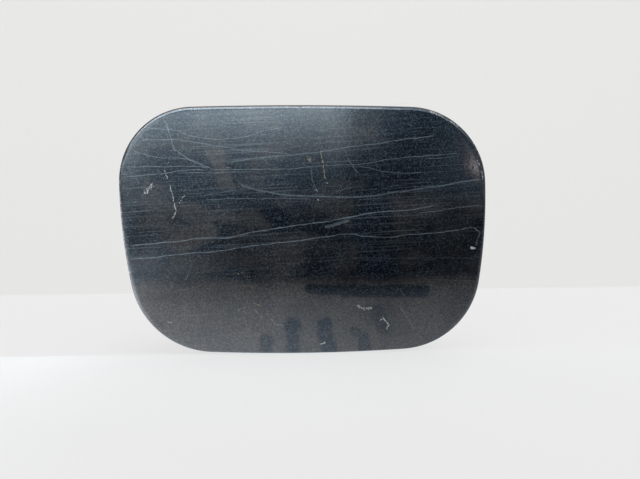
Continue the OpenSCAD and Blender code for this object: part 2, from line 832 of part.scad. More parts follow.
// Latch striker: a folded plate whose window takes the latch bolt
module latch_striker() {
    bend_mid_r = striker_bend_r + striker_t / 2;
    plate_corner_r = 4;
    window_corner_r = 1.5;
    foot_start = door_x + striker_x - striker_t - striker_foot;
    plate_x = door_x + striker_x;
    color(zinc)
        difference() {
            intersection() {
                translate([foot_start, field_y + striker_t / 2, 0])
                    bent_strip(
                        [
                            [striker_foot - striker_bend_r, 90, bend_mid_r],
                            [striker_h - striker_bend_r - striker_t, 0, 0]
                        ],
                        striker_t, striker_w
                    );
                along_x(foot_start - over, plate_x + over)
                    translate([field_y + striker_h, 0])
                        mirror([1, 0]) round_end(striker_h, striker_w, plate_corner_r);
            }
            along_x(plate_x - 2 * striker_t, plate_x + over)
                translate([field_y + window_rise, 0])
                    round_plate(-window_h / 2, window_h / 2, window_w, window_corner_r);
            for (side = [-1, 1]) {
                on_field(striker_rivet_x, side * striker_rivet_pitch / 2)
                    cylinder(r = striker_rivet_r + press_clear, h = 4 * striker_t, center = true);
            }
        }
}

// Striker rivets: domed on both sides of the foot and the inner panel
module striker_rivets() {
    head_r = 1.6 * striker_rivet_r;
    head_h = 0.65 * striker_rivet_r;
    for (side = [-1, 1]) {
        color(zinc)
            on_field(striker_rivet_x, side * striker_rivet_pitch / 2) {
                translate([0, 0, -inner_t]) cylinder(r = striker_rivet_r, h = inner_t + striker_t);
                translate([0, 0, striker_t]) rivet_head(head_r, head_h);
                translate([0, 0, -inner_t]) mirror([0, 0, 1]) rivet_head(head_r, head_h);
            }
    }
}

// Bump stop: a round rubber head on a barbed neck
module bumper() {
    head_r = bumper_d / 2;
    neck_r = bumper_neck_d / 2;
    barb_r = 1.35 * neck_r;
    tip_r = 0.7 * neck_r;
    edge = 1.2;
    color(rubber)
        rotate_extrude()
            polygon([
                [0, -inner_t - bumper_barb_h],
                [tip_r, -inner_t - bumper_barb_h],
                [barb_r, -inner_t - press_clear],
                [neck_r, -inner_t - press_clear],
                [neck_r, press_clear],
                [head_r - 0.4 * edge, press_clear],
                [head_r, edge],
                [head_r - 0.3 * edge, bumper_h - edge],
                [head_r - edge, bumper_h - 0.3 * edge],
                [head_r - 2 * edge, bumper_h],
                [0, bumper_h]
            ]);
}

module upper_bumper() {
    on_field(bumper_x, bumper_z) bumper();
}

module lower_bumper() {
    on_field(bumper_x, -bumper_z) bumper();
}

// Cap hook: a moulded J on a base plate with two split snap pegs
module cap_hook() {
    fillet_r = 1.6;
    base_corner_r = 3;
    barb_h = 1.6;
    barb_r = peg_r + 0.5;
    slit_w = 0.9;
    rib_t = 2;
    shelf_under = -hook_t - hook_lip / 2;
    reach = 2 * hook_t + hook_gap;
    color(black_plastic)
        union() {
            on_field(hook_x, 0)
                linear_extrude(hook_t)
                    round_plate(-hook_base_w / 2, hook_base_w / 2, hook_base_h, base_corner_r);
            translate([0, field_y, 0])
                along_x(door_x + hook_x - hook_w / 2, door_x + hook_x + hook_w / 2) {
                    translate([reach / 2, shelf_under])
                        rotate(90) channel_section(hook_t + hook_lip, hook_gap, hook_t, fillet_r);
                    translate([reach - hook_t / 2, hook_lip / 2]) circle(d = hook_t, $fn = 32);
                }
            translate([0, field_y, 0])
                along_x(door_x + hook_x - rib_t / 2, door_x + hook_x + rib_t / 2)
                    polygon([
                        [0, shelf_under + hook_t / 2],
                        [0, fillet_r - hook_base_h / 2],
                        [hook_t, fillet_r - hook_base_h / 2],
                        [reach - 2 * hook_t, shelf_under + hook_t / 2]
                    ]);
            for (side = [-1, 1]) {
                on_field(hook_x, side * peg_pitch / 2)
                    difference() {
                        rotate_extrude()
                            polygon([
                                [0, hook_t / 2],
                                [peg_r, hook_t / 2],
                                [peg_r, -inner_t - press_clear],
                                [barb_r, -inner_t - press_clear],
                                [0.7 * peg_r, -inner_t - barb_h],
                                [0, -inner_t - barb_h]
                            ]);
                        translate([-2 * peg_r, -slit_w / 2, -inner_t - 2 * barb_h]) cube([4 * peg_r, slit_w, inner_t + 2 * barb_h]);
                    }
            }
        }
}

outer_skin();
inner_panel();
hem_sealer();
antiflutter_pads();
hinge_arm();
upper_bush();
lower_bush();
hinge_bracket();
hinge_pin();
pin_washer();
pin_clip();
detent_leaf();
leaf_rivets();
latch_striker();
striker_rivets();
upper_bumper();
lower_bumper();
cap_hook();
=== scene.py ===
# %% [markdown]
# # A car fuel door, dressed over its CAD frame
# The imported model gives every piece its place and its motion. This script gives the pieces their
# looks: a smooth painted skin, pressed and folded steel behind it, worn paint, and a plain studio.
# Lengths are in metres, as Blender wants them, and `MM` turns the drawing's millimetres into them.

import math

import bmesh
import bpy
import numpy as np
from mathutils import Matrix, Vector


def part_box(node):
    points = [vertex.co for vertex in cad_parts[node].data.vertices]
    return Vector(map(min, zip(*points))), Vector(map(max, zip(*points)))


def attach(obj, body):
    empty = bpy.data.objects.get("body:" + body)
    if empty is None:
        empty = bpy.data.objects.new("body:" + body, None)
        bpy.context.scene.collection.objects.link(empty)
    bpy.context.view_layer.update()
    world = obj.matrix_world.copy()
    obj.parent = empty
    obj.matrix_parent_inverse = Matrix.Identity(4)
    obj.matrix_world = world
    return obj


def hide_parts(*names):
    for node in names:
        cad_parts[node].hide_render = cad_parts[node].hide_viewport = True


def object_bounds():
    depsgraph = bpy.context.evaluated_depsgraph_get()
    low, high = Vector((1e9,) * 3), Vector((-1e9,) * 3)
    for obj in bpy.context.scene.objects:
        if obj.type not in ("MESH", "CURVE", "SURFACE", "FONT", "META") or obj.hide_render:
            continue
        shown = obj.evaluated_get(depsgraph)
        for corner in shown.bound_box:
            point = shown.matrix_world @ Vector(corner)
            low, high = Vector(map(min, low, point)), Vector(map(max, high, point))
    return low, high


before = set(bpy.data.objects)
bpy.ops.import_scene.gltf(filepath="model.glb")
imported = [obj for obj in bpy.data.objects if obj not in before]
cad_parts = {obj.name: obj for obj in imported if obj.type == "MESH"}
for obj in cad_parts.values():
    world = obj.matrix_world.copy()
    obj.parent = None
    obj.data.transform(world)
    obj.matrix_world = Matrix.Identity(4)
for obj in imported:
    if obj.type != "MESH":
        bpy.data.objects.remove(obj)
cad_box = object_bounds()
MM = 0.001
print("CAD box in mm:", [round(v / MM, 1) for corner in cad_box for v in corner])

# %% [markdown]
# ## The camera
# The photograph was taken from about half a metre, a few degrees above the door and a hair to its
# left. Fitting the door's outline gave the angles below. The lens is a little longer than 50 mm on
# a 36 mm sensor. A small shift puts the door a little left of the frame's middle, as it was framed.

# %% Camera at the photograph's viewing angle
PHOTO_W, PHOTO_H = 640, 479  # pixels
SEEN_AT = (304.55, 231.2)  # pixel of the photograph where the door's middle is seen
VIEW_DISTANCE = 500 * MM
VIEW_AZIMUTH = math.radians(-1.3)
VIEW_ELEVATION = math.radians(6.0)
VIEW_ROLL = math.radians(-0.68)
FOCAL_PIXELS = 965.7
SENSOR_MM = 36.0

skin_low, skin_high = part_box("outer_skin")
BOX_LEAN = 0.393 * MM  # the outline leans, so its box sits this far towards the hinge
door_middle = Vector(((skin_low.x + skin_high.x) / 2 + BOX_LEAN, skin_low.y, (skin_low.z + skin_high.z) / 2))


def view_axes():
    """Right, up and back of the camera as unit vectors, before its roll."""
    level = math.cos(VIEW_ELEVATION)
    back = Vector((math.sin(VIEW_AZIMUTH) * level, -math.cos(VIEW_AZIMUTH) * level, math.sin(VIEW_ELEVATION)))
    right = (-back).cross(Vector((0, 0, 1))).normalized()
    return right, back.cross(right), back


def make_camera():
    right, up, back = view_axes()
    data = bpy.data.cameras.new("photo_camera")
    data.sensor_width = SENSOR_MM
    data.lens = FOCAL_PIXELS * SENSOR_MM / PHOTO_W
    data.shift_x = (PHOTO_W / 2 - SEEN_AT[0]) / PHOTO_W
    data.shift_y = (SEEN_AT[1] - PHOTO_H / 2) / PHOTO_W
    data.clip_start = 0.01
    camera = bpy.data.objects.new("photo_camera", data)
    turn = Matrix((right, up, back)).transposed().to_4x4() @ Matrix.Rotation(VIEW_ROLL, 4, "Z")
    camera.matrix_world = Matrix.Translation(door_middle + back * VIEW_DISTANCE) @ turn
    bpy.context.scene.collection.objects.link(camera)
    bpy.context.scene.camera = camera
    return camera


camera = make_camera()
print("lens in mm:", round(camera.data.lens, 2))

# %% [markdown]
# ## Small helpers for nodes
# Every finish below is a tree of shader nodes. `add` makes a node and fills its inputs with numbers
# or with other nodes' outputs, and `calc` is one Math node. `plus`, `minus`, `times` and `most` are
# the Math nodes that are needed all the time, and three of them take any number of values.

# %% Node helpers
def add(tree, kind, inputs=None, **settings):
    node = tree.nodes.new(kind)
    for key, value in settings.items():
        setattr(node, key, value)
    for key, value in (inputs or {}).items():
        if isinstance(value, bpy.types.NodeSocket):
            tree.links.new(value, node.inputs[key])
        else:
            node.inputs[key].default_value = value
    return node


def calc(tree, operation, *values):
    return add(tree, "ShaderNodeMath", dict(enumerate(values)), operation=operation).outputs[0]


def chain(tree, operation, values):
    """One Math node after the other, through all the values."""
    total = values[0]
    for value in values[1:]:
        total = calc(tree, operation, total, value)
    return total


def plus(tree, *values):
    return chain(tree, "ADD", values)


def minus(tree, first, second):
    return calc(tree, "SUBTRACT", first, second)


def times(tree, *values):
    return chain(tree, "MULTIPLY", values)


def most(tree, *values):
    return chain(tree, "MAXIMUM", values)


def held(tree, value, low=0.0, high=1.0):
    """A value kept between two others. The renderer handles this in order, and a Clamp tick late."""
    return calc(tree, "MINIMUM", most(tree, value, low), high)


def ramp(tree, value, low, high, out_low=0.0, out_high=1.0, smooth=True):
    """Carries a value from one range to another, held at both ends."""
    value = value if smooth else held(tree, value, min(low, high), max(low, high))
    inputs = {0: value, 1: low, 2: high, 3: out_low, 4: out_high}
    kind = "SMOOTHSTEP" if smooth else "LINEAR"
    return add(tree, "ShaderNodeMapRange", inputs, interpolation_type=kind, clamp=False).outputs[0]


# %% Helpers for vectors, colours and noise
def vector_calc(tree, operation, *values, scale=None):
    inputs = dict(enumerate(values))
    if scale is not None:
        inputs["Scale"] = scale
    return add(tree, "ShaderNodeVectorMath", inputs, operation=operation).outputs[0]


def split(tree, vector):
    """The three parts of a vector."""
    return add(tree, "ShaderNodeSeparateXYZ", {0: vector}).outputs


def unite(tree, x, y, z):
    return add(tree, "ShaderNodeCombineXYZ", {0: x, 1: y, 2: z}).outputs[0]


def blend_colour(tree, share, first, second):
    inputs = {0: share, 6: first, 7: second}
    return add(tree, "ShaderNodeMix", inputs, data_type="RGBA").outputs[2]


def noise(tree, place, scale, detail=2.0, roughness=0.5, kind="Fac"):
    inputs = {"Vector": place, "Scale": scale, "Detail": detail, "Roughness": roughness}
    return add(tree, "ShaderNodeTexNoise", inputs).outputs[kind]


def place_in_mm(tree, centre=(0, 0, 0)):
    """Object coordinates in millimetres, counted from a point given in metres."""
    place = add(tree, "ShaderNodeTexCoord").outputs["Object"]
    moved = vector_calc(tree, "SUBTRACT", place, tuple(centre))
    return vector_calc(tree, "SCALE", moved, scale=1 / MM)


# %% Materials
def new_material(name):
    material = bpy.data.materials.new(name)
    material.use_nodes = True
    return material


def nodes_of(material):
    """A material's tree and its shader."""
    return material.node_tree, material.node_tree.nodes["Principled BSDF"]


# %% [markdown]
# ## Sheets made of rings
# The door's main pieces follow one rule. A ring of points runs round the door, and a short section
# says how each copy of it is moved in from the edge and back from the face. A Geometry Nodes tree
# can follow that rule for all of them: a grid gives the points, `Sample Index` reads ring and
# section, and `Set Position` puts each point on the crowned sheet. Turned pieces, such as a rivet
# head, are the same rule round a circle. The alternative, a loft in plain mesh code, would be one
# long function for each piece.

# %% Sizes of the door, as in the part's source, in millimetres
DOOR_W, DOOR_H = 190.0, 130.0
WIDEST_Z = 20.5
TOP_BOW_R, BOTTOM_BOW_R, SIDE_BOW_R = 1990.0, 1060.0, 295.0
TOP_BOW_X = -23.0
TOP_CORNER_R, BOTTOM_CORNER_R = 39.5, 43.0
LEAN = 0.019
CROWN_UPRIGHT_R, CROWN_LEVEL_R = 1000.0, 2400.0
SKIN_T, INNER_T, GAP = 0.8, 0.7, 0.1
HEM_REACH, HEM_W, FLANGE_W, WALL_RUN = 2.2, 9.0, 11.5, 3.2
HEM_OUT_R = INNER_T / 2 + GAP + SKIN_T
PANEL_FRONT = SKIN_T + GAP
PANEL_BACK = PANEL_FRONT + INNER_T
print("skin width: drawn", DOOR_W, "and in the frame", round((skin_high.x - skin_low.x) / MM, 3))


# %% The outline of the door
def crown(x, z):
    """How far the face falls back at a point, from its highest point."""
    return x * x / (2 * CROWN_LEVEL_R) + z * z / (2 * CROWN_UPRIGHT_R)


def meet(c1, r1, c2, r2, upper):
    """One of the two points where two circles cross."""
    apart = np.linalg.norm(c2 - c1)
    along = (r1 * r1 - r2 * r2 + apart * apart) / (2 * apart)
    across = math.sqrt(r1 * r1 - along * along)
    unit = (c2 - c1) / apart
    side = np.array([-unit[1], unit[0]])
    points = [c1 + along * unit + across * side, c1 + along * unit - across * side]
    return max(points, key=lambda p: p[1] if upper else -p[1])


def arc(centre, radius, start, end, count):
    angles = np.linspace(start, end, count, endpoint=False)
    return centre + radius * np.column_stack([np.cos(angles), np.sin(angles)])


def half_outline(inset, side, steps):
    """From the top's highest point down the latch side, 1, or the hinge side, -1."""
    top = np.array([side * TOP_BOW_X, DOOR_H / 2 - TOP_BOW_R])
    bottom = np.array([0, BOTTOM_BOW_R - DOOR_H / 2])
    edge = np.array([DOOR_W / 2 - SIDE_BOW_R, WIDEST_Z])
    top_corner = meet(top, TOP_BOW_R - TOP_CORNER_R, edge, SIDE_BOW_R - TOP_CORNER_R, True)
    low_corner = meet(bottom, BOTTOM_BOW_R - BOTTOM_CORNER_R, edge, SIDE_BOW_R - BOTTOM_CORNER_R, False)
    ways = [top_corner - top, top_corner - edge, low_corner - edge, low_corner - bottom]
    turns = [math.pi / 2] + [math.atan2(v[1], v[0]) for v in ways] + [-math.pi / 2]
    centres = [top, top_corner, edge, low_corner, bottom]
    radii = [TOP_BOW_R, TOP_CORNER_R, SIDE_BOW_R, BOTTOM_CORNER_R, BOTTOM_BOW_R]
    arcs = [arc(c, r - inset, a, b, n) for c, r, a, b, n in zip(centres, radii, turns, turns[1:], steps)]
    return np.vstack(arcs) * (side, 1)


def door_outline(inset, steps=(26, 44, 26, 44, 26)):
    """The outline moved in by inset, clockwise from the top, in the plane of x and z."""
    right, left = half_outline(inset, 1, steps), half_outline(inset, -1, steps)
    points = np.vstack([right, [[0, inset - DOOR_H / 2]], left[:0:-1]])
    points[:, 0] -= LEAN * points[:, 1]
    return points


print("points round the door:", len(door_outline(0)))


# %% Rings and sections as small guide meshes
def guide_mesh(name, points, **numbers):
    """A mesh of loose points that carries a number or a vector for each of them."""
    mesh = bpy.data.meshes.new(name)
    mesh.from_pydata([tuple(p) for p in points], [], [])
    for key, values in numbers.items():
        values = np.asarray(values, float)
        kind = "FLOAT_VECTOR" if values.ndim == 2 else "FLOAT"
        field = mesh.attributes.new(key, kind, "POINT")
        field.data.foreach_set("vector" if values.ndim == 2 else "value", values.ravel())
    guide = bpy.data.objects.new(name, mesh)
    bpy.context.scene.collection.objects.link(guide)
    return guide


def ring_guide(name, flat, inward):
    """Ring in the plane of x and z, given in millimetres, with its way inward at each point."""
    points = np.column_stack([flat[:, 0], np.zeros(len(flat)), flat[:, 1]]) * MM
    return guide_mesh(name, points, inward=np.column_stack([inward[:, 0], np.zeros(len(flat)), inward[:, 1]]))


def section_guide(name, steps):
    """Section from steps of (inset, depth, share, follow, loose), lengths in millimetres."""
    table = np.array([tuple(step) + (1, 1, 0)[len(step) - 2:] for step in steps], float)
    return guide_mesh(name, np.zeros((len(table), 3)), inset=table[:, 0] * MM, depth=table[:, 1] * MM,
                      share=table[:, 2], follow=table[:, 3], loose=table[:, 4])


door_ring = ring_guide("door_ring", door_outline(0), door_outline(1) - door_outline(0))

# %% [markdown]
# ## The tree that lofts a sheet
# Each grid point knows its place round the ring and along the section from its own position in the
# grid. `share` draws a ring in towards the middle, where it closes to a point, and `follow` says
# how much of the crown a ring takes up, from 0 for flat to 1. `loose` lets a ring wander a little
# with a noise of fixed seed, as a cut edge or a brushed bead does.


# %% Parts that the trees share
def new_tree(name, inputs):
    tree = bpy.data.node_groups.new(name, "GeometryNodeTree")
    for key, kind in inputs.items():
        tree.interface.new_socket(key, in_out="INPUT", socket_type=kind)
    tree.interface.new_socket("Geometry", in_out="OUTPUT", socket_type="NodeSocketGeometry")
    return tree, tree.nodes.new("NodeGroupInput").outputs


def end_tree(tree, geometry, material):
    """Ends a tree with real geometry in place of instances, in its material."""
    whole = add(tree, "GeometryNodeRealizeInstances", {"Geometry": geometry}).outputs[0]
    dressed = add(tree, "GeometryNodeSetMaterial", {"Geometry": whole, "Material": material}).outputs[0]
    add(tree, "NodeGroupOutput", {"Geometry": dressed})


def shape_of(tree, guide):
    return add(tree, "GeometryNodeObjectInfo", {"Object": guide}).outputs["Geometry"]


def position(tree):
    return add(tree, "GeometryNodeInputPosition").outputs[0]


def count_of(tree, geometry):
    size = add(tree, "GeometryNodeAttributeDomainSize", {"Geometry": geometry}, component="MESH")
    return size.outputs["Point Count"]


def named(tree, key, kind="FLOAT"):
    return add(tree, "GeometryNodeInputNamedAttribute", {"Name": key}, data_type=kind).outputs["Attribute"]


def sample(tree, geometry, index, field, kind="FLOAT"):
    """What a field gives at one point of a guide."""
    inputs = {"Geometry": geometry, "Index": index, "Value": field}
    return add(tree, "GeometryNodeSampleIndex", inputs, data_type=kind).outputs["Value"]


# %% The steps of the sheet's tree
def ring_grid(tree, around, rows):
    """The grid, and for each of its points the place round the ring and the step of the section."""
    last_row = minus(tree, rows, 1.0)
    sizes = {"Size X": around, "Size Y": last_row, "Vertices X": plus(tree, around, 1.0), "Vertices Y": rows}
    grid = add(tree, "GeometryNodeMeshGrid", sizes).outputs["Mesh"]
    spot = split(tree, position(tree))
    turn = calc(tree, "ROUND", plus(tree, spot[0], times(tree, around, 0.5)))
    row = calc(tree, "ROUND", plus(tree, spot[1], times(tree, last_row, 0.5)))
    return grid, calc(tree, "MODULO", turn, around), row


def wandering(tree, given, start, loose):
    """How far a loose ring slips at a point, from a noise of fixed seed."""
    scale = calc(tree, "DIVIDE", 1.0, given["Wander size"])
    place = vector_calc(tree, "SCALE", vector_calc(tree, "ADD", start, given["Middle"]), scale=scale)
    inputs = {"Vector": place, "W": given["Seed"], "Scale": 1.0, "Detail": 2.0}
    waves = add(tree, "ShaderNodeTexNoise", inputs, noise_dimensions="4D").outputs[0]
    return times(tree, minus(tree, waves, 0.5), given["Wander"], loose)


def crown_fall(tree, given, x, z):
    """The crown again, now as nodes."""
    level = calc(tree, "DIVIDE", times(tree, x, x), times(tree, given["Level radius"], 2.0))
    upright = calc(tree, "DIVIDE", times(tree, z, z), times(tree, given["Upright radius"], 2.0))
    return plus(tree, level, upright)


# %% Build the tree
def sheet_tree():
    tree, given = new_tree("sheet_of_rings", {
        "Geometry": "NodeSocketGeometry", "Section": "NodeSocketObject", "Material": "NodeSocketMaterial",
        "Middle": "NodeSocketVector", "Upright radius": "NodeSocketFloat", "Level radius": "NodeSocketFloat",
        "Wander": "NodeSocketFloat", "Wander size": "NodeSocketFloat", "Seed": "NodeSocketFloat"})
    ring, section = given["Geometry"], shape_of(tree, given["Section"])
    grid, turn, row = ring_grid(tree, count_of(tree, ring), count_of(tree, section))

    start = sample(tree, ring, turn, position(tree), "FLOAT_VECTOR")
    inward = sample(tree, ring, turn, named(tree, "inward", "FLOAT_VECTOR"), "FLOAT_VECTOR")
    keys = ("inset", "depth", "share", "follow", "loose")
    inset, depth, share, follow, loose = [sample(tree, section, row, named(tree, key)) for key in keys]
    slip = wandering(tree, given, start, loose)
    inset = plus(tree, inset, slip)
    depth = plus(tree, depth, times(tree, slip, 0.4))

    moved_in = vector_calc(tree, "ADD", start, vector_calc(tree, "SCALE", inward, scale=inset))
    part = split(tree, vector_calc(tree, "SCALE", moved_in, scale=share))
    back = plus(tree, times(tree, crown_fall(tree, given, part[0], part[2]), follow), depth)
    point = vector_calc(tree, "ADD", unite(tree, part[0], back, part[2]), given["Middle"])
    note = {"Geometry": grid, "Name": "inset", "Value": calc(tree, "DIVIDE", inset, MM)}
    noted = add(tree, "GeometryNodeStoreNamedAttribute", note).outputs[0]
    moved = add(tree, "GeometryNodeSetPosition", {"Geometry": noted, "Position": point}).outputs[0]
    merged = add(tree, "GeometryNodeMergeByDistance", {"Geometry": moved, "Distance": 1e-7}).outputs[0]
    smooth = add(tree, "GeometryNodeSetShadeSmooth", {"Geometry": merged}).outputs[0]
    end_tree(tree, smooth, given["Material"])
    return tree


sheet_of_rings = sheet_tree()
print("nodes in the sheet tree:", len(sheet_of_rings.nodes))


# %% From a tree to a plain mesh
def set_inputs(modifier, values):
    for item in modifier.node_group.interface.items_tree:
        if item.in_out == "INPUT" and item.name in values:
            modifier[item.identifier] = values[item.name]


def plain_mesh(name, source):
    """Turns an evaluated object into a plain piece with its faces outward."""
    graph = bpy.context.evaluated_depsgraph_get()
    mesh = bpy.data.meshes.new_from_object(source.evaluated_get(graph))
    if mesh.materials and mesh.materials[0] is None:
        mesh.materials.pop(index=0)
        mesh.polygons.foreach_set("material_index", [0] * len(mesh.polygons))
    shape = bmesh.new()
    shape.from_mesh(mesh)
    if shape.calc_volume(signed=True) < 0:
        bmesh.ops.reverse_faces(shape, faces=shape.faces)
    shape.to_mesh(mesh)
    shape.free()
    mesh.name = name
    piece = bpy.data.objects.new(name, mesh)
    bpy.context.scene.collection.objects.link(piece)
    return piece


def run_tree(name, tree, base, **values):
    """A plain piece from a tree that works on a copy of base."""
    carrier = bpy.data.objects.new(name + "_carrier", base.data)
    bpy.context.scene.collection.objects.link(carrier)
    modifier = carrier.modifiers.new(name, "NODES")
    modifier.node_group = tree
    set_inputs(modifier, {key.replace("_", " "): value for key, value in values.items()})
    piece = plain_mesh(name, carrier)
    carrier.modifiers.remove(modifier)
    bpy.data.objects.remove(carrier)
    return piece


def loft(name, ring, steps, material, middle, wander=0.0, wander_size=20 * MM, seed=1.0, flat=False):
    far = 1e6 if flat else 1.0
    section = section_guide(name + "_section", steps)
    piece = run_tree(name, sheet_of_rings, ring, Section=section, Material=material, Middle=tuple(middle),
                     Upright_radius=CROWN_UPRIGHT_R * MM * far, Level_radius=CROWN_LEVEL_R * MM * far,
                     Wander=wander, Wander_size=wander_size, Seed=seed)
    bpy.data.objects.remove(section)
    print(name, "has", len(piece.data.polygons), "faces")
    return piece


def dress(piece, body, slot_name, *nodes):
    """Rides on its body and stands for its CAD nodes. slot_name is not used."""
    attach(piece, body)
    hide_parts(*nodes)


# %% [markdown]
# ## The outer skin
# The real skin is pressed steel, crowned both ways. Its edge is rolled over and closed on the inner
# panel, which is called a hem. The section runs from the middle of the face to the edge, over the
# hem's outer arc, along the return flange, and back inside. Many small steps in the arcs keep the
# thin bright line along the edge even. The flange's cut edge wanders by a few tenths, as sheared
# metal does.

# %% Skin
def half_turn(wall, start, end, steps=24):
    """Steps round the hem between two angles in degrees, outside or a wall's thickness inside."""
    angles = np.radians(np.linspace(start, end, steps + 1))
    reach, radius = HEM_REACH - wall, HEM_OUT_R - wall
    return [(HEM_REACH - reach * math.sin(a), HEM_OUT_R - radius * math.cos(a)) for a in angles]


NEAR_EDGE = 5.0  # inset of the last ring that is drawn in to the middle
BEFORE_ROLL = 3.2  # inset of the last ring before the rolled edge
SHARES = np.linspace(0, 0.94, 15)


def skin_section():
    face = [(NEAR_EDGE, 0, s) for s in SHARES] + [(NEAR_EDGE, 0), (BEFORE_ROLL, 0)]
    flange = [(HEM_W, 2 * HEM_OUT_R, 1, 1, 1), (HEM_W, 2 * HEM_OUT_R - SKIN_T, 1, 1, 1)]
    inside = [(BEFORE_ROLL, SKIN_T), (NEAR_EDGE, SKIN_T)] + [(NEAR_EDGE, SKIN_T, s) for s in SHARES[::-1]]
    return face + half_turn(0, 0, 180) + flange + half_turn(SKIN_T, 180, 0) + inside


def soft_shading(piece, degrees=35):
    piece.data.set_sharp_from_angle(angle=math.radians(degrees))


body_paint = new_material("body_paint")
skin = loft("painted_skin", door_ring, skin_section(), body_paint, door_middle, wander=0.5 * MM)
soft_shading(skin)
dress(skin, "door", "body_paint", "outer_skin")

# %% [markdown]
# ## The inner panel
# The inner panel is thinner steel: a flange that lies in the hem, a wall and a flat field. Pressed
# steel has no sharp folds, so the wall is a smooth step that meets flange and field in soft curves.
# The same tree makes it, with `follow` falling from 1 on the crowned flange to 0 on the flat field.
# The two beads are dishes round a long slot's outline, and a Boolean modifier cuts the holes.

# %% Panel sheet
FIELD_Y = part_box("inner_panel")[1].y
FIELD_DEPTH = (FIELD_Y - door_middle.y) / MM
FIELD_INSET = FLANGE_W + WALL_RUN


def wall_side(depth, mitre, steps=19):
    """Section points down one side of the wall, from the field's edge to the flange."""
    points = []
    for u in np.linspace(1, 0, steps):
        rise = u * u * (3 - 2 * u)
        inset = FLANGE_W + WALL_RUN * u + 4 * mitre * u * (1 - u)
        points.append((inset, depth + rise * (FIELD_DEPTH - PANEL_BACK), 1, 1 - rise))
    return points


def panel_section():
    edge = HEM_REACH + GAP
    front = [(FIELD_INSET, FIELD_DEPTH - INNER_T, 0, 0)] + wall_side(PANEL_FRONT, INNER_T / 2)
    back = wall_side(PANEL_BACK, 0)[::-1] + [(FIELD_INSET, FIELD_DEPTH, 0, 0)]
    return front + [(edge, PANEL_FRONT), (edge, PANEL_BACK)] + back


inner_paint = new_material("inner_paint")
panel = loft("pressed_panel", door_ring, panel_section(), inner_paint, door_middle)


# %% Cutting holes
def mesh_object(name, points, faces):
    mesh = bpy.data.meshes.new(name)
    mesh.from_pydata([tuple(p) for p in points], [], faces)
    piece = bpy.data.objects.new(name, mesh)
    bpy.context.scene.collection.objects.link(piece)
    return piece


def long_hole(length, width, steps=24):
    """Outline of a slot with round ends, or of a round hole, about the origin."""
    reach = (length - width) / 2
    angles = np.linspace(0, 2 * math.pi, 2 * steps, endpoint=False) + math.pi / (2 * steps)
    round_part = np.column_stack([np.cos(angles), np.sin(angles)]) * width / 2
    return round_part + np.column_stack([np.where(np.cos(angles) > 0, reach, -reach), np.zeros(2 * steps)])


def on_field(x, z, rise=0.0):
    """A point over the panel's field, from millimetres about the door's middle."""
    return Vector((door_middle.x + x * MM, FIELD_Y + rise * MM, z * MM))


def cut_holes(piece, holes, reach=2.0):
    """Cuts holes of (x, z, outline) through the field with one Boolean modifier."""
    points, faces = [], []
    for x, z, flat in holes:
        n, first = len(flat), len(points)
        for rise in (-reach, reach):
            points += [on_field(x + p[0], z + p[1], rise) for p in flat]
        faces += [tuple(range(first, first + n)), tuple(range(first + 2 * n - 1, first + n - 1, -1))]
        faces += [(first + i, first + n + i, first + n + (i + 1) % n, first + (i + 1) % n) for i in range(n)]
    cutter = mesh_object("cutter", points, faces)
    modifier = piece.modifiers.new("holes", "BOOLEAN")
    modifier.operation, modifier.solver, modifier.object = "DIFFERENCE", "EXACT", cutter
    cut = plain_mesh(piece.name + "_cut", piece)
    name = piece.name
    bpy.data.objects.remove(piece)
    bpy.data.objects.remove(cutter)
    cut.name = name
    return cut


# %% The holes in the field, in millimetres about the door's middle
BEADS = [(-11, 27), (-11, -27)]
BEAD_LEN, BEAD_W, BEAD_DEPTH, BEAD_RUN = 102.0, 10.0, 2.0, 3.4
TOOLING_D, TOOLING_X, TOOLING_Z = 8, (-33, 11), (-42, 42)
DRAIN_LEN, DRAIN_W, DRAIN_X, DRAIN_Z = 12, 3, (-44, 44), FIELD_INSET + 3 - DOOR_H / 2
RIVET_D, PEG_D, STOP_D = 3.24, 5.04, 6.04
STRIKER_X, HOOK_X, STOP_X = 63, 20, 58
RIVET_Z, PEG_Z, STOP_Z = (-5, 5), (-10, 10), (36, -36)

bead_outline = long_hole(BEAD_LEN, BEAD_W, 40)
holes = [(x, z, bead_outline) for x, z in BEADS]
holes += [(x, z, long_hole(TOOLING_D, TOOLING_D)) for x in TOOLING_X for z in TOOLING_Z]
holes += [(x, DRAIN_Z, long_hole(DRAIN_LEN, DRAIN_W)) for x in DRAIN_X]
rounds = [(STRIKER_X, RIVET_Z, RIVET_D), (HOOK_X, PEG_Z, PEG_D), (STOP_X, STOP_Z[::-1], STOP_D)]
for x, spots, width in rounds:
    holes += [(x, z, long_hole(width, width, 16)) for z in spots]
panel = cut_holes(panel, holes)
print("panel with", len(holes), "holes has", len(panel.data.polygons), "faces")


# %% Pressed beads
def bead_section():
    """From the bead's bottom up to its rim, and back along the other side of the sheet."""
    slope = [(BEAD_RUN * u, -BEAD_DEPTH * u * u * (3 - 2 * u)) for u in np.linspace(1, 0, 13)]
    back = [(BEAD_W / 2, -BEAD_DEPTH)] + slope
    return back + [(p[0], p[1] - INNER_T) for p in back[::-1]]


def join(pieces):
    """Joins plain pieces into the first one."""
    shape = bmesh.new()
    for piece in pieces:
        shape.from_mesh(piece.data)
    shape.to_mesh(pieces[0].data)
    shape.free()
    for piece in pieces[1:]:
        bpy.data.objects.remove(piece)
    return pieces[0]


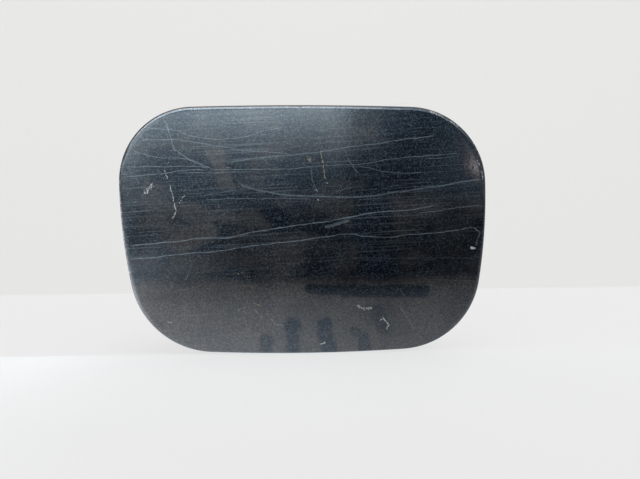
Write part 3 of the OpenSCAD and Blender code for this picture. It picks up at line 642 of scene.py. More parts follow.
end_x = np.sign(bead_outline[:, 0]) * (BEAD_LEN - BEAD_W) / 2
end_middle = np.column_stack([end_x, np.zeros(len(bead_outline))])
bead_inward = (end_middle - bead_outline) / (BEAD_W / 2)
bead_ring = ring_guide("bead_ring", bead_outline, bead_inward)
beads = [loft("bead", bead_ring, bead_section(), inner_paint, on_field(x, z), flat=True) for x, z in BEADS]
panel = join([panel] + beads)
panel.data.materials.clear()
panel.data.materials.append(inner_paint)
soft_shading(panel)
dress(panel, "door", "inner_paint", "inner_panel")

# %% [markdown]
# ## Seam sealer
# A bead of sealer closes the step between the hem's cut edge and the panel. On the real door a
# nozzle lays it and a brush or finger wipes it, so its height and width ripple. Its section is a low
# hump whose last ring is its first one again, and only the hump's own points are loose.

# %% Sealer
SEALER_W, SEALER_H = 2.6, 0.46
SEALER_LIFT = 0.04  # keeps its underside just off the steel


def sealer_section():
    step, back, outer = HEM_W + GAP, 2 * HEM_OUT_R, HEM_W - 0.3 * SEALER_W
    under = [(step, PANEL_BACK + SEALER_LIFT), (step, back + SEALER_LIFT), (outer, back + 0.03)]
    hump = []
    for u in np.linspace(0.12, 1, 9):
        if u < 0.55:
            top = back + SEALER_H * math.sin(math.pi * (u * 0.98)) ** 0.8
        else:
            fall = math.cos(math.pi / 2 * ((u - 0.5) / 0.5)) ** 0.9
            top = PANEL_BACK + 0.05 + (back + 0.42 - PANEL_BACK) * fall
        hump.append((outer + SEALER_W * u, top, 1, 1, 0.2 if u > 0.95 else 1))
    return under + hump + [under[0]]


seam_sealer = new_material("seam_sealer")
sealer = loft("brushed_sealer", door_ring, sealer_section(), seam_sealer, door_middle,
              wander=0.5 * MM, wander_size=7 * MM, seed=4.0)
soft_shading(sealer, 60)
dress(sealer, "door", "seam_sealer", "hem_sealer")

# %% [markdown]
# ## Folded and moulded pieces
# The hinge arm, the bracket, the striker, the leaf, the pin with its washer and clip, the bushes and
# the cap hook have their true shape in the frame already. What they lack is the small round that
# every sheared, turned or moulded edge has, and which catches the light. So each is copied, its
# doubled points are merged, flat faces are joined again, and a Bevel modifier rounds its sharp edges.

# %% Rounded copies of the frame's pieces
def rounded_copy(node, name, width, material, body, slot_name, degrees=28, segments=2):
    shape = bmesh.new()
    shape.from_mesh(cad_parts[node].data)
    bmesh.ops.remove_doubles(shape, verts=shape.verts, dist=1e-6)
    bmesh.ops.dissolve_limit(shape, angle_limit=math.radians(0.4), verts=shape.verts, edges=shape.edges)
    mesh = bpy.data.meshes.new(name)
    shape.to_mesh(mesh)
    shape.free()
    mesh.materials.append(material)
    carrier = bpy.data.objects.new(name + "_carrier", mesh)
    bpy.context.scene.collection.objects.link(carrier)
    bevel = carrier.modifiers.new("bevel", "BEVEL")
    bevel.width, bevel.segments = width * MM, segments
    bevel.limit_method, bevel.angle_limit = "ANGLE", math.radians(degrees)
    piece = plain_mesh(name, carrier)
    bpy.data.objects.remove(carrier)
    piece.data.shade_smooth()
    soft_shading(piece, degrees)
    print(name, "has", len(piece.data.polygons), "faces")
    dress(piece, body, slot_name, node)


black_coat = new_material("black_coat")
zinc_plate = new_material("zinc_plate")
spring_steel = new_material("spring_steel")
nylon = new_material("nylon")
black_rubber = new_material("black_rubber")
black_plastic = new_material("black_plastic")
rounded_copy("hinge_arm", "folded_arm", 0.2, inner_paint, "door", "inner_paint")
rounded_copy("hinge_bracket", "folded_bracket", 0.25, black_coat, "bracket", "black_coat")
rounded_copy("latch_striker", "folded_striker", 0.18, zinc_plate, "door", "zinc_plate")
rounded_copy("detent_leaf", "bent_leaf", 0.1, spring_steel, "bracket", "spring_steel")
rounded_copy("hinge_pin", "turned_pin", 0.15, zinc_plate, "bracket", "zinc_plate")
rounded_copy("pin_washer", "stamped_washer", 0.08, zinc_plate, "bracket", "zinc_plate")
rounded_copy("pin_clip", "stamped_clip", 0.08, spring_steel, "bracket", "spring_steel")
rounded_copy("cap_hook", "moulded_hook", 0.35, black_plastic, "door", "black_plastic", segments=3)
for node in ("upper_bush", "lower_bush"):
    rounded_copy(node, node + "_moulded", 0.15, nylon, "door", "nylon")

# %% [markdown]
# ## Turned pieces and fasteners
# A rivet or a bump stop is a section turned round an axis. The sheet tree makes one of them round a
# circle. A second small tree then sets such a piece on each of its points, which is how anything
# that repeats is best made: change the points, and the rivets follow.


# %% Turned sections
def turned(name, profile, material, steps=40):
    """A piece turned round the axis y, from points of (radius, height) in millimetres."""
    widest = max(p[0] for p in profile)
    angles = np.linspace(0, 2 * math.pi, steps, endpoint=False)
    circle = np.column_stack([np.cos(angles), np.sin(angles)])
    ring = ring_guide(name + "_ring", circle * widest, -circle)
    piece = loft(name, ring, [(widest - r, h) for r, h in profile], material, (0, 0, 0), flat=True)
    bpy.data.objects.remove(ring)
    return piece


def dome(radius, height, base, way=1, steps=7):
    """Points of a rivet's head, from its rim to its top."""
    angles = np.linspace(0, math.pi / 2, steps)
    return [(radius * math.cos(a) ** 0.8, base + way * height * math.sin(a)) for a in angles]


def random_number(tree, low, high, seed):
    """A random number for each point, from a fixed seed."""
    inputs = {"Min": low, "Max": high, "Seed": seed}
    node = add(tree, "FunctionNodeRandomValue", inputs, data_type="FLOAT")
    return next(socket for socket in node.outputs if socket.enabled)


def points_tree():
    tree, given = new_tree("pieces_on_points", {
        "Geometry": "NodeSocketGeometry", "Piece": "NodeSocketObject", "Material": "NodeSocketMaterial",
        "Size change": "NodeSocketFloat", "Turn": "NodeSocketFloat", "Seed": "NodeSocketInt"})
    change, seed = given["Size change"], given["Seed"]
    size = random_number(tree, minus(tree, 1.0, change), plus(tree, 1.0, change), seed)
    turn = random_number(tree, 0.0, given["Turn"], seed)
    placed = add(tree, "GeometryNodeInstanceOnPoints", {
        "Points": given["Geometry"], "Instance": shape_of(tree, given["Piece"]),
        "Rotation": unite(tree, 0.0, turn, 0.0), "Scale": size}).outputs[0]
    end_tree(tree, placed, given["Material"])
    return tree


pieces_on_points = points_tree()


def on_points(name, piece, points, material, size_change=0.0, turn=0.0, seed=7):
    guide = guide_mesh(name + "_points", points)
    made = run_tree(name, pieces_on_points, guide, Piece=piece, Material=material,
                    Size_change=size_change, Turn=turn, Seed=seed)
    bpy.data.objects.remove(guide)
    bpy.data.objects.remove(piece)
    soft_shading(made, 40)
    print(name, "stand on", len(points), "points")
    return made


# %% Rivets
PLATE_HEAD, LEAF_HEAD = (2.56, 1.04), (2.62, 1.2)  # radius and height
plate_shank = [(1.6, -0.7), (1.6, 1.5)]
plate_profile = dome(*PLATE_HEAD, -0.7, -1)[::-1] + plate_shank + dome(*PLATE_HEAD, 1.5)
plate_rivet = turned("plate_rivet", plate_profile, zinc_plate)
plate_points = [on_field(STRIKER_X, z) for z in RIVET_Z]
striker_rivets = on_points("striker_rivet_pair", plate_rivet, plate_points, zinc_plate)
dress(striker_rivets, "door", "zinc_plate", "striker_rivets")

leaf_shank = [(1.5, -2.6), (1.5, -0.95), (2.35, -0.05), (0, -0.05)]
leaf_rivet = turned("leaf_rivet", dome(*LEAF_HEAD, -2.6, -1)[::-1] + leaf_shank, zinc_plate)
leaf_low, leaf_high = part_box("leaf_rivets")
leaf_points = [Vector(((leaf_low.x + leaf_high.x) / 2, 0, z * MM)) for z in (-6, 6)]
leaf_rivets = on_points("leaf_rivet_pair", leaf_rivet, leaf_points, zinc_plate)
dress(leaf_rivets, "bracket", "zinc_plate", "leaf_rivets")

# %% Bump stops, as points of radius and height
STOP_NECK = [(0, -2.9), (2.1, -2.9), (4.0, -0.85), (4.05, -0.74), (3.0, -0.72), (3.0, 0.02), (5.9, 0.02)]
STOP_SIDE = [(6.3, 0.35), (6.48, 1.0), (6.5, 2.0), (6.4, 4.2), (6.2, 5.6), (5.75, 6.6)]
STOP_TIP = [(5.0, 7.2), (4.1, 7.44), (3.4, 7.38), (2.9, 7.05), (2.2, 6.9), (0, 6.85)]

for node, z in zip(("upper_bumper", "lower_bumper"), STOP_Z):
    stop = turned(node + "_stop", STOP_NECK + STOP_SIDE + STOP_TIP, black_rubber)
    stop = on_points(node + "_moulded", stop, [on_field(STOP_X, z)], black_rubber)
    dress(stop, "door", "black_rubber", node)

# %% Spot welds
AXIS = Vector((-31 * MM, -27 * MM, 0))
ARM_BACK = -8.6 + 1.5  # back of the arm's floor, from the axis
WELD_SPOTS = [(5.5, 0), (19, 0), (34.2, 9), (34.2, -9), (43, 9), (43, -9)]
WELD_RIM = [(2.3, -0.1), (2.42, 0.0), (2.6, 0.07), (2.8, 0.05), (3.0, -0.02), (2.6, -0.1), (2.3, -0.1)]
weld = turned("weld", WELD_RIM, inner_paint, 28)
weld_points = [AXIS + Vector((x, ARM_BACK, z)) * MM for x, z in WELD_SPOTS]
welds = on_points("spot_weld_rims", weld, weld_points, inner_paint, size_change=0.06, turn=6.28)
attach(welds, "door")
for guide in (door_ring, bead_ring):
    bpy.data.objects.remove(guide)

# %% [markdown]
# ## Marks on the paint
# The paint is old: long hairlines run across it, and there are chips and dabs. Each mark is listed
# by the pixels where it is seen, and `on_face` sends a pixel's ray from the camera to the crowned
# face. So the marks sit on the door, in millimetres, and stay there from any side.

# %% From a pixel of the photograph to a point of the face
def on_face(px, py):
    right, up, back = view_axes()
    cos, sin = math.cos(VIEW_ROLL), math.sin(VIEW_ROLL)
    u, v = px - SEEN_AT[0], py - SEEN_AT[1]
    across, down = u * cos + v * sin, v * cos - u * sin
    eye = np.array(back) * VIEW_DISTANCE / MM
    ray = np.array(right * across - up * down - back * FOCAL_PIXELS)
    depth = 0.0
    for _ in range(5):
        hit = eye + ray * (depth - eye[1]) / ray[1]
        depth = crown(hit[0], hit[2])
    return float(hit[0]), float(hit[2])


print("door's right edge at mid-height is seen at x =", [round(v, 1) for v in on_face(484, 200)])

# %% Long hairlines: strength, half width in mm, and the pixels they pass
HAIRLINES = [
    (0.5, 0.25, [(143, 128), (165, 129), (176, 131), (198, 137), (216, 139), (236, 138), (253, 134),
                 (268, 130), (286, 127)]),
    (0.5, 0.25, [(140, 140), (180, 140), (198, 143), (218, 146), (243, 150), (268, 152), (292, 154)]),
    (0.5, 0.22, [(130, 149), (143, 154), (155, 157), (176, 158), (190, 160), (206, 166)]),
    (0.55, 0.3, [(226, 163), (251, 159), (276, 156), (301, 154), (326, 151), (350, 147), (381, 143),
                 (407, 139), (437, 136)]),
    (0.55, 0.25, [(123, 167), (208, 167), (213, 169), (286, 169), (309, 167), (370, 163), (384, 160),
                  (411, 157), (461, 153)]),
    (0.4, 0.22, [(425, 159), (462, 156)]),
    (0.6, 0.25, [(123, 177), (160, 174), (190, 170), (209, 170)]),
    (0.55, 0.22, [(175, 173), (254, 172)]),
    (0.5, 0.22, [(355, 166), (370, 168), (381, 171), (401, 173), (425, 172)]),
    (0.35, 0.2, [(358, 174), (367, 175), (374, 177)]),
    (0.42, 0.6, [(236, 180), (253, 189), (269, 192), (286, 195), (309, 196), (350, 197), (370, 196),
                 (391, 193), (411, 190), (432, 187), (452, 184), (467, 181), (484, 179)]),
    (0.35, 0.25, [(200, 196), (243, 189)]),
    (0.5, 0.22, [(201, 201), (226, 199), (314, 199)]),
    (0.5, 0.22, [(329, 194), (342, 190), (362, 186)]),
    (0.45, 0.2, [(384, 188), (396, 186), (407, 185)]),
    (0.4, 0.22, [(127, 212), (155, 209)]),
    (0.6, 0.38, [(128, 246), (160, 243), (181, 241), (203, 238), (226, 238), (248, 233), (286, 227),
                 (322, 222), (350, 217), (365, 214), (381, 212), (411, 210), (437, 204)]),
    (0.6, 0.25, [(416, 214), (442, 210), (462, 207), (484, 205)]),
    (0.6, 0.32, [(128, 259), (146, 258), (160, 257), (181, 254), (209, 252), (251, 246), (286, 242),
                 (309, 239), (331, 236), (350, 234), (363, 236), (386, 237), (406, 235), (432, 233),
                 (465, 229)]),
    (0.2, 0.3, [(350, 258), (480, 258)]),
    (0.25, 0.2, [(359, 260), (395, 261)]),
    (0.2, 0.25, [(426, 279), (478, 281)]),
    (0.25, 0.22, [(173, 292), (188, 289), (200, 287)]),
    (0.3, 0.22, [(178, 315), (200, 315), (216, 313)]),
]

# %% Short marks: strength, half width in mm, and the pixels they pass
STROKES = [
    (0.5, 0.3, [(165, 121), (170, 135), (174, 149), (191, 161), (208, 167)]),
    (0.45, 0.28, [(345, 151), (349, 161), (352, 164), (357, 173)]),
    (0.25, 0.25, [(192, 264), (186, 280)]),
    (0.35, 0.25, [(311, 168), (312, 179), (316, 189)]),
    (0.5, 0.3, [(254, 309), (262, 318)]),
    (0.45, 0.28, [(266, 313), (276, 325), (282, 325)]),
    (0.4, 0.25, [(401, 308), (407, 317), (414, 329)]),
    (0.3, 0.25, [(400, 289), (405, 297)]),
    (0.35, 1.1, [(326, 227), (347, 221)]),
    (0.5, 0.45, [(463, 229), (470, 227), (476, 229), (480, 233), (478, 238), (476, 245)]),
    (0.3, 0.25, [(396, 251), (403, 246)]),
    (0.25, 0.25, [(233, 336), (243, 344)]),
]
CHIPS = [
    (0.75, 1.9, [(146, 192), (152, 185)]), (1.0, 0.33, [(164, 170), (166, 174), (167, 179)]),
    (0.9, 0.4, [(170, 185), (173, 196), (174, 204)]), (0.95, 0.5, [(174, 204), (176, 211)]),
    (0.85, 0.5, [(176, 211), (173, 218)]), (0.85, 0.5, [(180, 203), (184, 195)]),
    (0.9, 0.35, [(168, 163), (169, 163)]), (0.9, 0.4, [(227, 167), (230, 167)]),
    (0.9, 0.35, [(327, 183), (328, 183)]), (0.9, 0.35, [(315, 190), (317, 191)]),
    (0.8, 0.35, [(318, 199), (318, 200)]), (1.1, 0.8, [(471, 248), (474, 248)]),
    (0.85, 0.8, [(358, 306), (363, 309), (371, 308)]), (1.0, 0.6, [(321, 344), (325, 343)]),
    (0.9, 0.4, [(313, 350), (315, 350)]), (0.75, 0.6, [(167, 322), (171, 322)]),
    (0.9, 0.45, [(379, 321), (383, 318), (387, 322)]), (0.95, 0.55, [(387, 322), (389, 325), (386, 329)]),
    (0.85, 0.6, [(429, 111), (443, 116)]), (0.85, 0.5, [(451, 121), (457, 126)]),
    (0.85, 0.5, [(477, 161), (479, 165)]), (0.85, 0.5, [(482, 172), (483, 179)]),
]
RUST_FLECKS = [
    (0.8, 0.9, [(308, 157), (311, 163)]), (0.9, 0.4, [(321, 151), (322, 161), (324, 170), (325, 178)]),
    (0.8, 0.3, [(327, 207), (328, 207)]), (0.85, 0.7, [(254, 304), (261, 306)]),
    (0.75, 0.5, [(238, 310), (245, 307)]), (0.62, 2.4, [(237, 273), (247, 276)]),
]
PITS = [(1.0, 0.5, [(300, 107), (301, 107)]), (1.0, 0.5, [(303, 109), (304, 109)])]
chip_count = len(CHIPS) + len(RUST_FLECKS) + len(PITS)
print(len(HAIRLINES), "hairlines,", len(STROKES), "strokes,", chip_count, "chips")

# %% Road film: where it lies thick, and where it is taken away. The gaps are partly wiped places and partly painted dark reflections, such as fingers mirrored along the lower edge
FILM = [
    (0.9, 6.5, [(214, 154), (228, 184)]), (0.7, 4.5, [(148, 190), (160, 201)]),
    (0.6, 7.0, [(188, 213), (206, 214)]), (0.9, 8.0, [(180, 241), (206, 231)]),
    (0.6, 7.0, [(225, 212), (262, 222)]), (0.5, 7.0, [(325, 202), (350, 212)]),
    (0.45, 6.0, [(250, 118), (276, 122)]), (0.5, 9.0, [(180, 264), (245, 262)]),
    (0.25, 11.0, [(448, 222), (448, 268)]),
]
# Gaps in the film: the upright strips along the lower edge are painted reflections of fingers, and the others
# are partly wiped places and partly painted dark reflection
WIPED_AND_PAINTED_REFLECTIONS = [
    (1.0, 3.4, [(310, 289), (340, 290)]), (1.0, 4.6, [(345, 291), (424, 291)]),
    (0.8, 4.4, [(266, 340), (266, 354)]), (1.0, 6.2, [(293, 326), (293, 327)]),
    (0.9, 4.6, [(293, 330), (292, 354)]), (1.0, 5.4, [(325, 325), (325, 327)]),
    (0.9, 5.2, [(325, 334), (331, 354)]), (0.7, 3.8, [(355, 331), (357, 333)]),
    (0.8, 4.4, [(364, 338), (366, 354)]), (1.0, 18.0, [(404, 122), (448, 150)]),
    (0.6, 5.0, [(378, 310), (384, 328)]), (0.8, 4.5, [(232, 272), (250, 274)]),
    (0.8, 6.0, [(272, 214), (276, 217)]), (0.9, 14.0, [(372, 212), (380, 262)]),
    (0.7, 8.0, [(205, 196), (236, 203)]),
]

# %% [markdown]
# ## Drawing the marks with nodes
# A hairline is long and nearly level, so a Float Curve can give its height at each place along the
# door, and the mark is where the face's own height is close to it. A short stroke may turn any way,
# so it is the distance to a segment. Both are node groups, used again and again. A picture would be
# quicker to paint, but it would blur close up, and it wouldn't be a rule that can be changed.


# %% Groups for a hairline and a stroke
def new_group(name, inputs, output):
    group = bpy.data.node_groups.new(name, "ShaderNodeTree")
    for key in inputs:
        group.interface.new_socket(key, in_out="INPUT", socket_type="NodeSocketFloat")
    group.interface.new_socket(output, in_out="OUTPUT", socket_type="NodeSocketFloat")
    return group, group.nodes.new("NodeGroupInput").outputs


def hairline_group():
    names = ["Across", "Height", "Line", "From", "To", "Half width", "Strength"]
    tree, given = new_group("hairline", names, "Mark")
    away = calc(tree, "ABSOLUTE", minus(tree, given["Height"], given["Line"]))
    near = ramp(tree, calc(tree, "DIVIDE", away, given["Half width"]), 0.3, 1.0, 1.0, 0.0)
    begun = ramp(tree, minus(tree, given["Across"], given["From"]), 0.0, 4.0)
    ended = ramp(tree, minus(tree, given["To"], given["Across"]), 0.0, 4.0)
    add(tree, "NodeGroupOutput", {"Mark": times(tree, near, given["Strength"], times(tree, begun, ended))})
    return tree


def length_of(tree, x, z):
    return calc(tree, "SQRT", plus(tree, times(tree, x, x), times(tree, z, z)))


def stroke_group():
    names = ["Across", "Height", "X1", "Z1", "X2", "Z2", "Half width", "Strength"]
    tree, given = new_group("stroke", names, "Mark")
    px, pz = minus(tree, given["Across"], given["X1"]), minus(tree, given["Height"], given["Z1"])
    dx, dz = minus(tree, given["X2"], given["X1"]), minus(tree, given["Z2"], given["Z1"])
    dot = plus(tree, times(tree, px, dx), times(tree, pz, dz))
    long = plus(tree, times(tree, dx, dx), times(tree, dz, dz))
    share = held(tree, calc(tree, "DIVIDE", dot, plus(tree, long, 1e-4)))
    ox, oz = minus(tree, px, times(tree, dx, share)), minus(tree, pz, times(tree, dz, share))
    away = calc(tree, "DIVIDE", length_of(tree, ox, oz), given["Half width"])
    near = ramp(tree, away, 0.5, 1.0, 1.0, 0.0)
    add(tree, "NodeGroupOutput", {"Mark": times(tree, near, given["Strength"])})
    return tree


hairline_rule, stroke_rule = hairline_group(), stroke_group()


# %% Marks in the paint's tree
def use_group(tree, group, inputs):
    return add(tree, "ShaderNodeGroup", inputs, node_tree=group).outputs[0]


def draw_hairline(tree, across, height, strength, half_width, pixels):
    spots = sorted(on_face(*p) for p in pixels)
    xs, zs = [p[0] for p in spots], [p[1] for p in spots]
    low, high = min(zs) - 0.5, max(zs) + 0.5
    along = ramp(tree, across, xs[0], xs[-1], smooth=False)
    line = add(tree, "ShaderNodeFloatCurve", {"Value": along})
    curve = line.mapping.curves[0]
    flat = [((x - xs[0]) / (xs[-1] - xs[0]), (z - low) / (high - low)) for x, z in spots]
    curve.points[0].location, curve.points[-1].location = flat[0], flat[-1]
    for spot in flat[1:-1]:
        curve.points.new(*spot)
    line.mapping.update()
    height_of_line = ramp(tree, line.outputs[0], 0.0, 1.0, low, high, smooth=False)
    inputs = {"Across": across, "Height": height, "Line": height_of_line, "From": xs[0], "To": xs[-1],
              "Half width": half_width, "Strength": strength}
    return use_group(tree, hairline_rule, inputs)


def draw_stroke(tree, across, height, strength, half_width, pixels):
    spots = [on_face(*p) for p in pixels]
    total = 0.0
    for (x1, z1), (x2, z2) in zip(spots, spots[1:]):
        inputs = {"Across": across, "Height": height, "X1": x1, "Z1": z1, "X2": x2, "Z2": z2,
                  "Half width": half_width, "Strength": strength}
        total = most(tree, total, use_group(tree, stroke_rule, inputs))
    return total


def strongest_of(tree, across, height, draw, marks):
    """Draws marks one after the other and keeps the strongest at each place."""
    total = 0.0
    for mark in marks:
        total = most(tree, total, draw(tree, across, height, *mark))
    return total


# %% [markdown]
# ## The body paint
# A car's metallic paint is a coloured coat full of tiny metal flakes under a clear, glossy coat. The
# flakes give a soft, wide reflection and the clear coat a sharp one. In the shader the flakes are a
# dark metal with a fairly rough surface, and the Coat sockets are the clear coat. Over them lies a
# brown film of road dirt, which scatters light. Marks are rougher and paler, and chips show primer.

# %% Places and small parts of the paint
def stretch(tree, place, x, y, z):
    return vector_calc(tree, "MULTIPLY", place, (x, y, z))


def link(tree, source, shader, key):
    tree.links.new(source, shader.inputs[key])


def bump(tree, height, distance, strength=1.0, normal=None):
    inputs = {"Height": height, "Distance": distance * MM, "Strength": strength}
    if normal is not None:
        inputs["Normal"] = normal
    return add(tree, "ShaderNodeBump", inputs).outputs[0]


def bent(tree, place, scale, reach):
    """Across and height of a place, moved about by a noise, so that what is drawn there is uneven."""
    slip = vector_calc(tree, "SUBTRACT", noise(tree, place, scale, 2.0, kind="Color"), (0.5, 0.5, 0.5))
    part = split(tree, vector_calc(tree, "ADD", place, vector_calc(tree, "SCALE", slip, scale=reach)))
    return part[0], part[2]


def paint_flakes(tree, place, size):
    """Random numbers for each flake, about size millimetres wide."""
    cells = add(tree, "ShaderNodeTexVoronoi", {"Vector": place, "Scale": 1 / size})
    return split(tree, cells.outputs["Color"])


def outer_side(tree, part):
    """1 on the outer face and 0 behind the rolled edge."""
    level = times(tree, part[0], part[0], 0.5 / CROWN_LEVEL_R)
    upright = times(tree, part[2], part[2], 0.5 / CROWN_UPRIGHT_R)
    return ramp(tree, minus(tree, part[1], plus(tree, level, upright)), 0.4, 1.1, 1.0, 0.0)


def inset_from_edge(tree):
    """How far in from the skin's edge a point lies, in millimetres, as the sheet's tree noted it."""
    return add(tree, "ShaderNodeAttribute", attribute_name="inset").outputs["Fac"]


def near_spot(tree, part, x, z, inner, outer):
    """1 inside a round spot about a point of the door, fading to 0 outside it."""
    away = length_of(tree, minus(tree, part[0], x), minus(tree, part[2], z))
    return ramp(tree, away, inner, outer, 1.0, 0.0)


# %% Scratches
def fine_streaks(tree, place, part):
    """Many faint hairlines that rise a little to the right, weaker towards the door's lower edge."""
    rising = minus(tree, part[2], times(tree, part[0], 0.045))
    along = unite(tree, times(tree, part[0], 0.014), 0.0, times(tree, rising, 1.7))
    streaks = ramp(tree, noise(tree, along, 1.0, 3.0, 0.6), 0.50, 0.72)
    patches = ramp(tree, noise(tree, place, 0.03, 2.0), 0.35, 0.65, 0.1, 0.34)
    return times(tree, streaks, times(tree, ramp(tree, part[2], -35.0, 5.0, 0.25, 1.0), patches))


def scratches(tree, place, part):
    wobble = minus(tree, noise(tree, stretch(tree, place, 0.12, 0, 0.05), 1.0, 3.0), 0.5)
    height = plus(tree, part[2], times(tree, wobble, 1.3))
    broken = ramp(tree, noise(tree, stretch(tree, place, 0.25, 0, 1.2), 1.0, 3.0), 0.3, 0.62, 0.45, 1.0)
    lines = strongest_of(tree, part[0], height, draw_hairline, HAIRLINES)
    strokes = strongest_of(tree, *bent(tree, place, 0.7, 1.2), draw_stroke, STROKES)
    marks = times(tree, most(tree, lines, strokes), broken)
    return most(tree, marks, fine_streaks(tree, place, part))


# %% Chips and worn edges
def flecks(tree, near, place, x, z, share):
    """Ragged flecks inside a mark: the higher share, the more of it they cover."""
    grain = minus(tree, noise(tree, stretch(tree, place, x, 1.0, z), 1.0, 3.0, 0.65), 0.5)
    return ramp(tree, plus(tree, near, times(tree, grain, 2.4)), 1.05 - share, 1.2 - share)


def worn_edge(tree, place, part):
    """Where the paint is rubbed off the rolled edge: on the left and round the upper right corner."""
    left = times(tree, near_spot(tree, part, -95, 8, 25, 45), 0.8)
    corner = times(tree, near_spot(tree, part, 84, 50, 14, 28), 0.6)
    rolled = ramp(tree, inset_from_edge(tree), 0.3, 1.7, 1.0, 0.0)
    return flecks(tree, times(tree, rolled, most(tree, left, corner)), place, 0.8, 0.8, 0.3)


# %% Road film
def road_film(tree, place, part, specks):
    thick = strongest_of(tree, *bent(tree, place, 0.09, 9.0), draw_stroke, FILM)
    # Taking the film away here paints dark reflections as well as wiped places
    wiped_and_dark_reflections = strongest_of(tree, *bent(tree, place, 0.25, 2.2), draw_stroke, WIPED_AND_PAINTED_REFLECTIONS)
    cloud = ramp(tree, noise(tree, stretch(tree, place, 1, 1, 1.5), 0.035, 4.0), 0.42, 0.66, 0.02, 0.14)
    low_patches = ramp(tree, noise(tree, place, 0.06, 3.0), 0.3, 0.6, 0.22, 0.32)
    low = times(tree, ramp(tree, part[2], -20.0, -31.0), low_patches)
    edge = ramp(tree, inset_from_edge(tree), 0.2, 2.0, 0.3, 0.0)
    film = most(tree, times(tree, thick, 0.25), cloud, low, edge)
    film = times(tree, film, minus(tree, 1.0, times(tree, wiped_and_dark_reflections, 0.95)))
    return times(tree, film, ramp(tree, specks, 0.3, 0.7, 0.45, 1.25))


# %% Body paint
BASE_COAT, FLAKE_COLOUR = (0.0022, 0.0048, 0.009, 1), (0.038, 0.045, 0.049, 1)
FILM_BROWN, SCRATCH_GREY = (0.125, 0.088, 0.062, 1), (0.155, 0.168, 0.178, 1)
RUST_BROWN, PRIMER_GREY, PIT_BLACK = (0.26, 0.19, 0.10, 1), (0.36, 0.36, 0.35, 1), (0.01, 0.01, 0.01, 1)
FLAKE_SIZE = 0.5  # in mm


def ragged_marks(tree, place, marks, *fleck_numbers):
    near = strongest_of(tree, *bent(tree, place, 0.6, 1.6), draw_stroke, marks)
    return flecks(tree, near, place, *fleck_numbers)


def make_body_paint(material):
    tree, shader = nodes_of(material)
    place = place_in_mm(tree, door_middle)
    part = split(tree, place)
    outside = outer_side(tree, part)
    specks = noise(tree, place, 1.1, 3.0, 0.6)
    flakes = paint_flakes(tree, place, FLAKE_SIZE)
    shown = times(tree, ramp(tree, flakes[0], 0.62, 1.0), plus(tree, times(tree, outside, 0.7), 0.3))
    base = blend_colour(tree, shown, BASE_COAT, FLAKE_COLOUR)

    film = times(tree, road_film(tree, place, part, specks), outside)
    marks = times(tree, scratches(tree, place, part), outside)
    base = blend_colour(tree, film, base, FILM_BROWN)
    base = blend_colour(tree, marks, base, SCRATCH_GREY)
    dull = most(tree, film, times(tree, marks, 0.35))
    loss = most(tree, times(tree, flakes[2], 0.3), times(tree, film, 0.35), times(tree, marks, 0.6))

    rust = ragged_marks(tree, place, RUST_FLECKS, 1.9, 1.4, 0.2)
    base = blend_colour(tree, times(tree, rust, outside), base, RUST_BROWN)
    chips = ragged_marks(tree, place, CHIPS, 2.0, 1.0, 0.25)
    chips = times(tree, most(tree, chips, worn_edge(tree, place, part)), outside)
    base = blend_colour(tree, chips, base, PRIMER_GREY)
    pits = strongest_of(tree, part[0], part[2], draw_stroke, PITS)
    base = blend_colour(tree, times(tree, pits, outside), base, PIT_BLACK)
    bare = most(tree, chips, rust, pits)

    link(tree, base, shader, "Base Color")
    link(tree, times(tree, minus(tree, 1.0, most(tree, bare, dull)), 0.95), shader, "Metallic")
    rough = ramp(tree, noise(tree, place, 0.05, 3.0), 0.3, 0.7, 0.27, 0.36)
    link(tree, plus(tree, rough, times(tree, marks, 0.25)), shader, "Roughness")
    link(tree, minus(tree, 1.0, most(tree, bare, loss)), shader, "Coat Weight")
    shader.inputs["Coat Roughness"].default_value = 0.07
    peel = bump(tree, noise(tree, place, 0.5, 2.0), 0.012)
    link(tree, peel, shader, "Coat Normal")
    link(tree, bump(tree, flakes[1], 0.02, 0.5, peel), shader, "Normal")
    print("paint nodes:", len(tree.nodes))


make_body_paint(body_paint)

# %% [markdown]
# ## Finishes on the back
# The back of a fuel door gets less paint and more weather. The same few ideas make each finish: a
# colour that varies softly, a roughness that varies with it, dust on what faces up, and a small bump
# at the size the real surface has. All of it is read from Object coordinates in millimetres, so the
# grain keeps its size from piece to piece.

# %% Dust, stains and roughness
def up_facing(tree, low=0.2, high=0.95):
    """1 where the surface faces up."""
    part = split(tree, add(tree, "ShaderNodeNewGeometry").outputs["Normal"])
    return ramp(tree, part[2], low, high)


def dust_cover(tree, place, amount):
    """Thin dust everywhere in patches, thicker on what faces up."""
    patches = ramp(tree, noise(tree, place, 0.08, 4.0), 0.42, 0.72)
    specks = ramp(tree, noise(tree, place, 1.6, 2.0), 0.5, 0.72)
    thin = times(tree, patches, plus(tree, 0.45, times(tree, specks, 0.55)), amount)
    return held(tree, plus(tree, thin, times(tree, up_facing(tree), 1.2 * amount)))


# %% Inner paint: thin colour over primer
DUST = (0.30, 0.28, 0.25, 1)


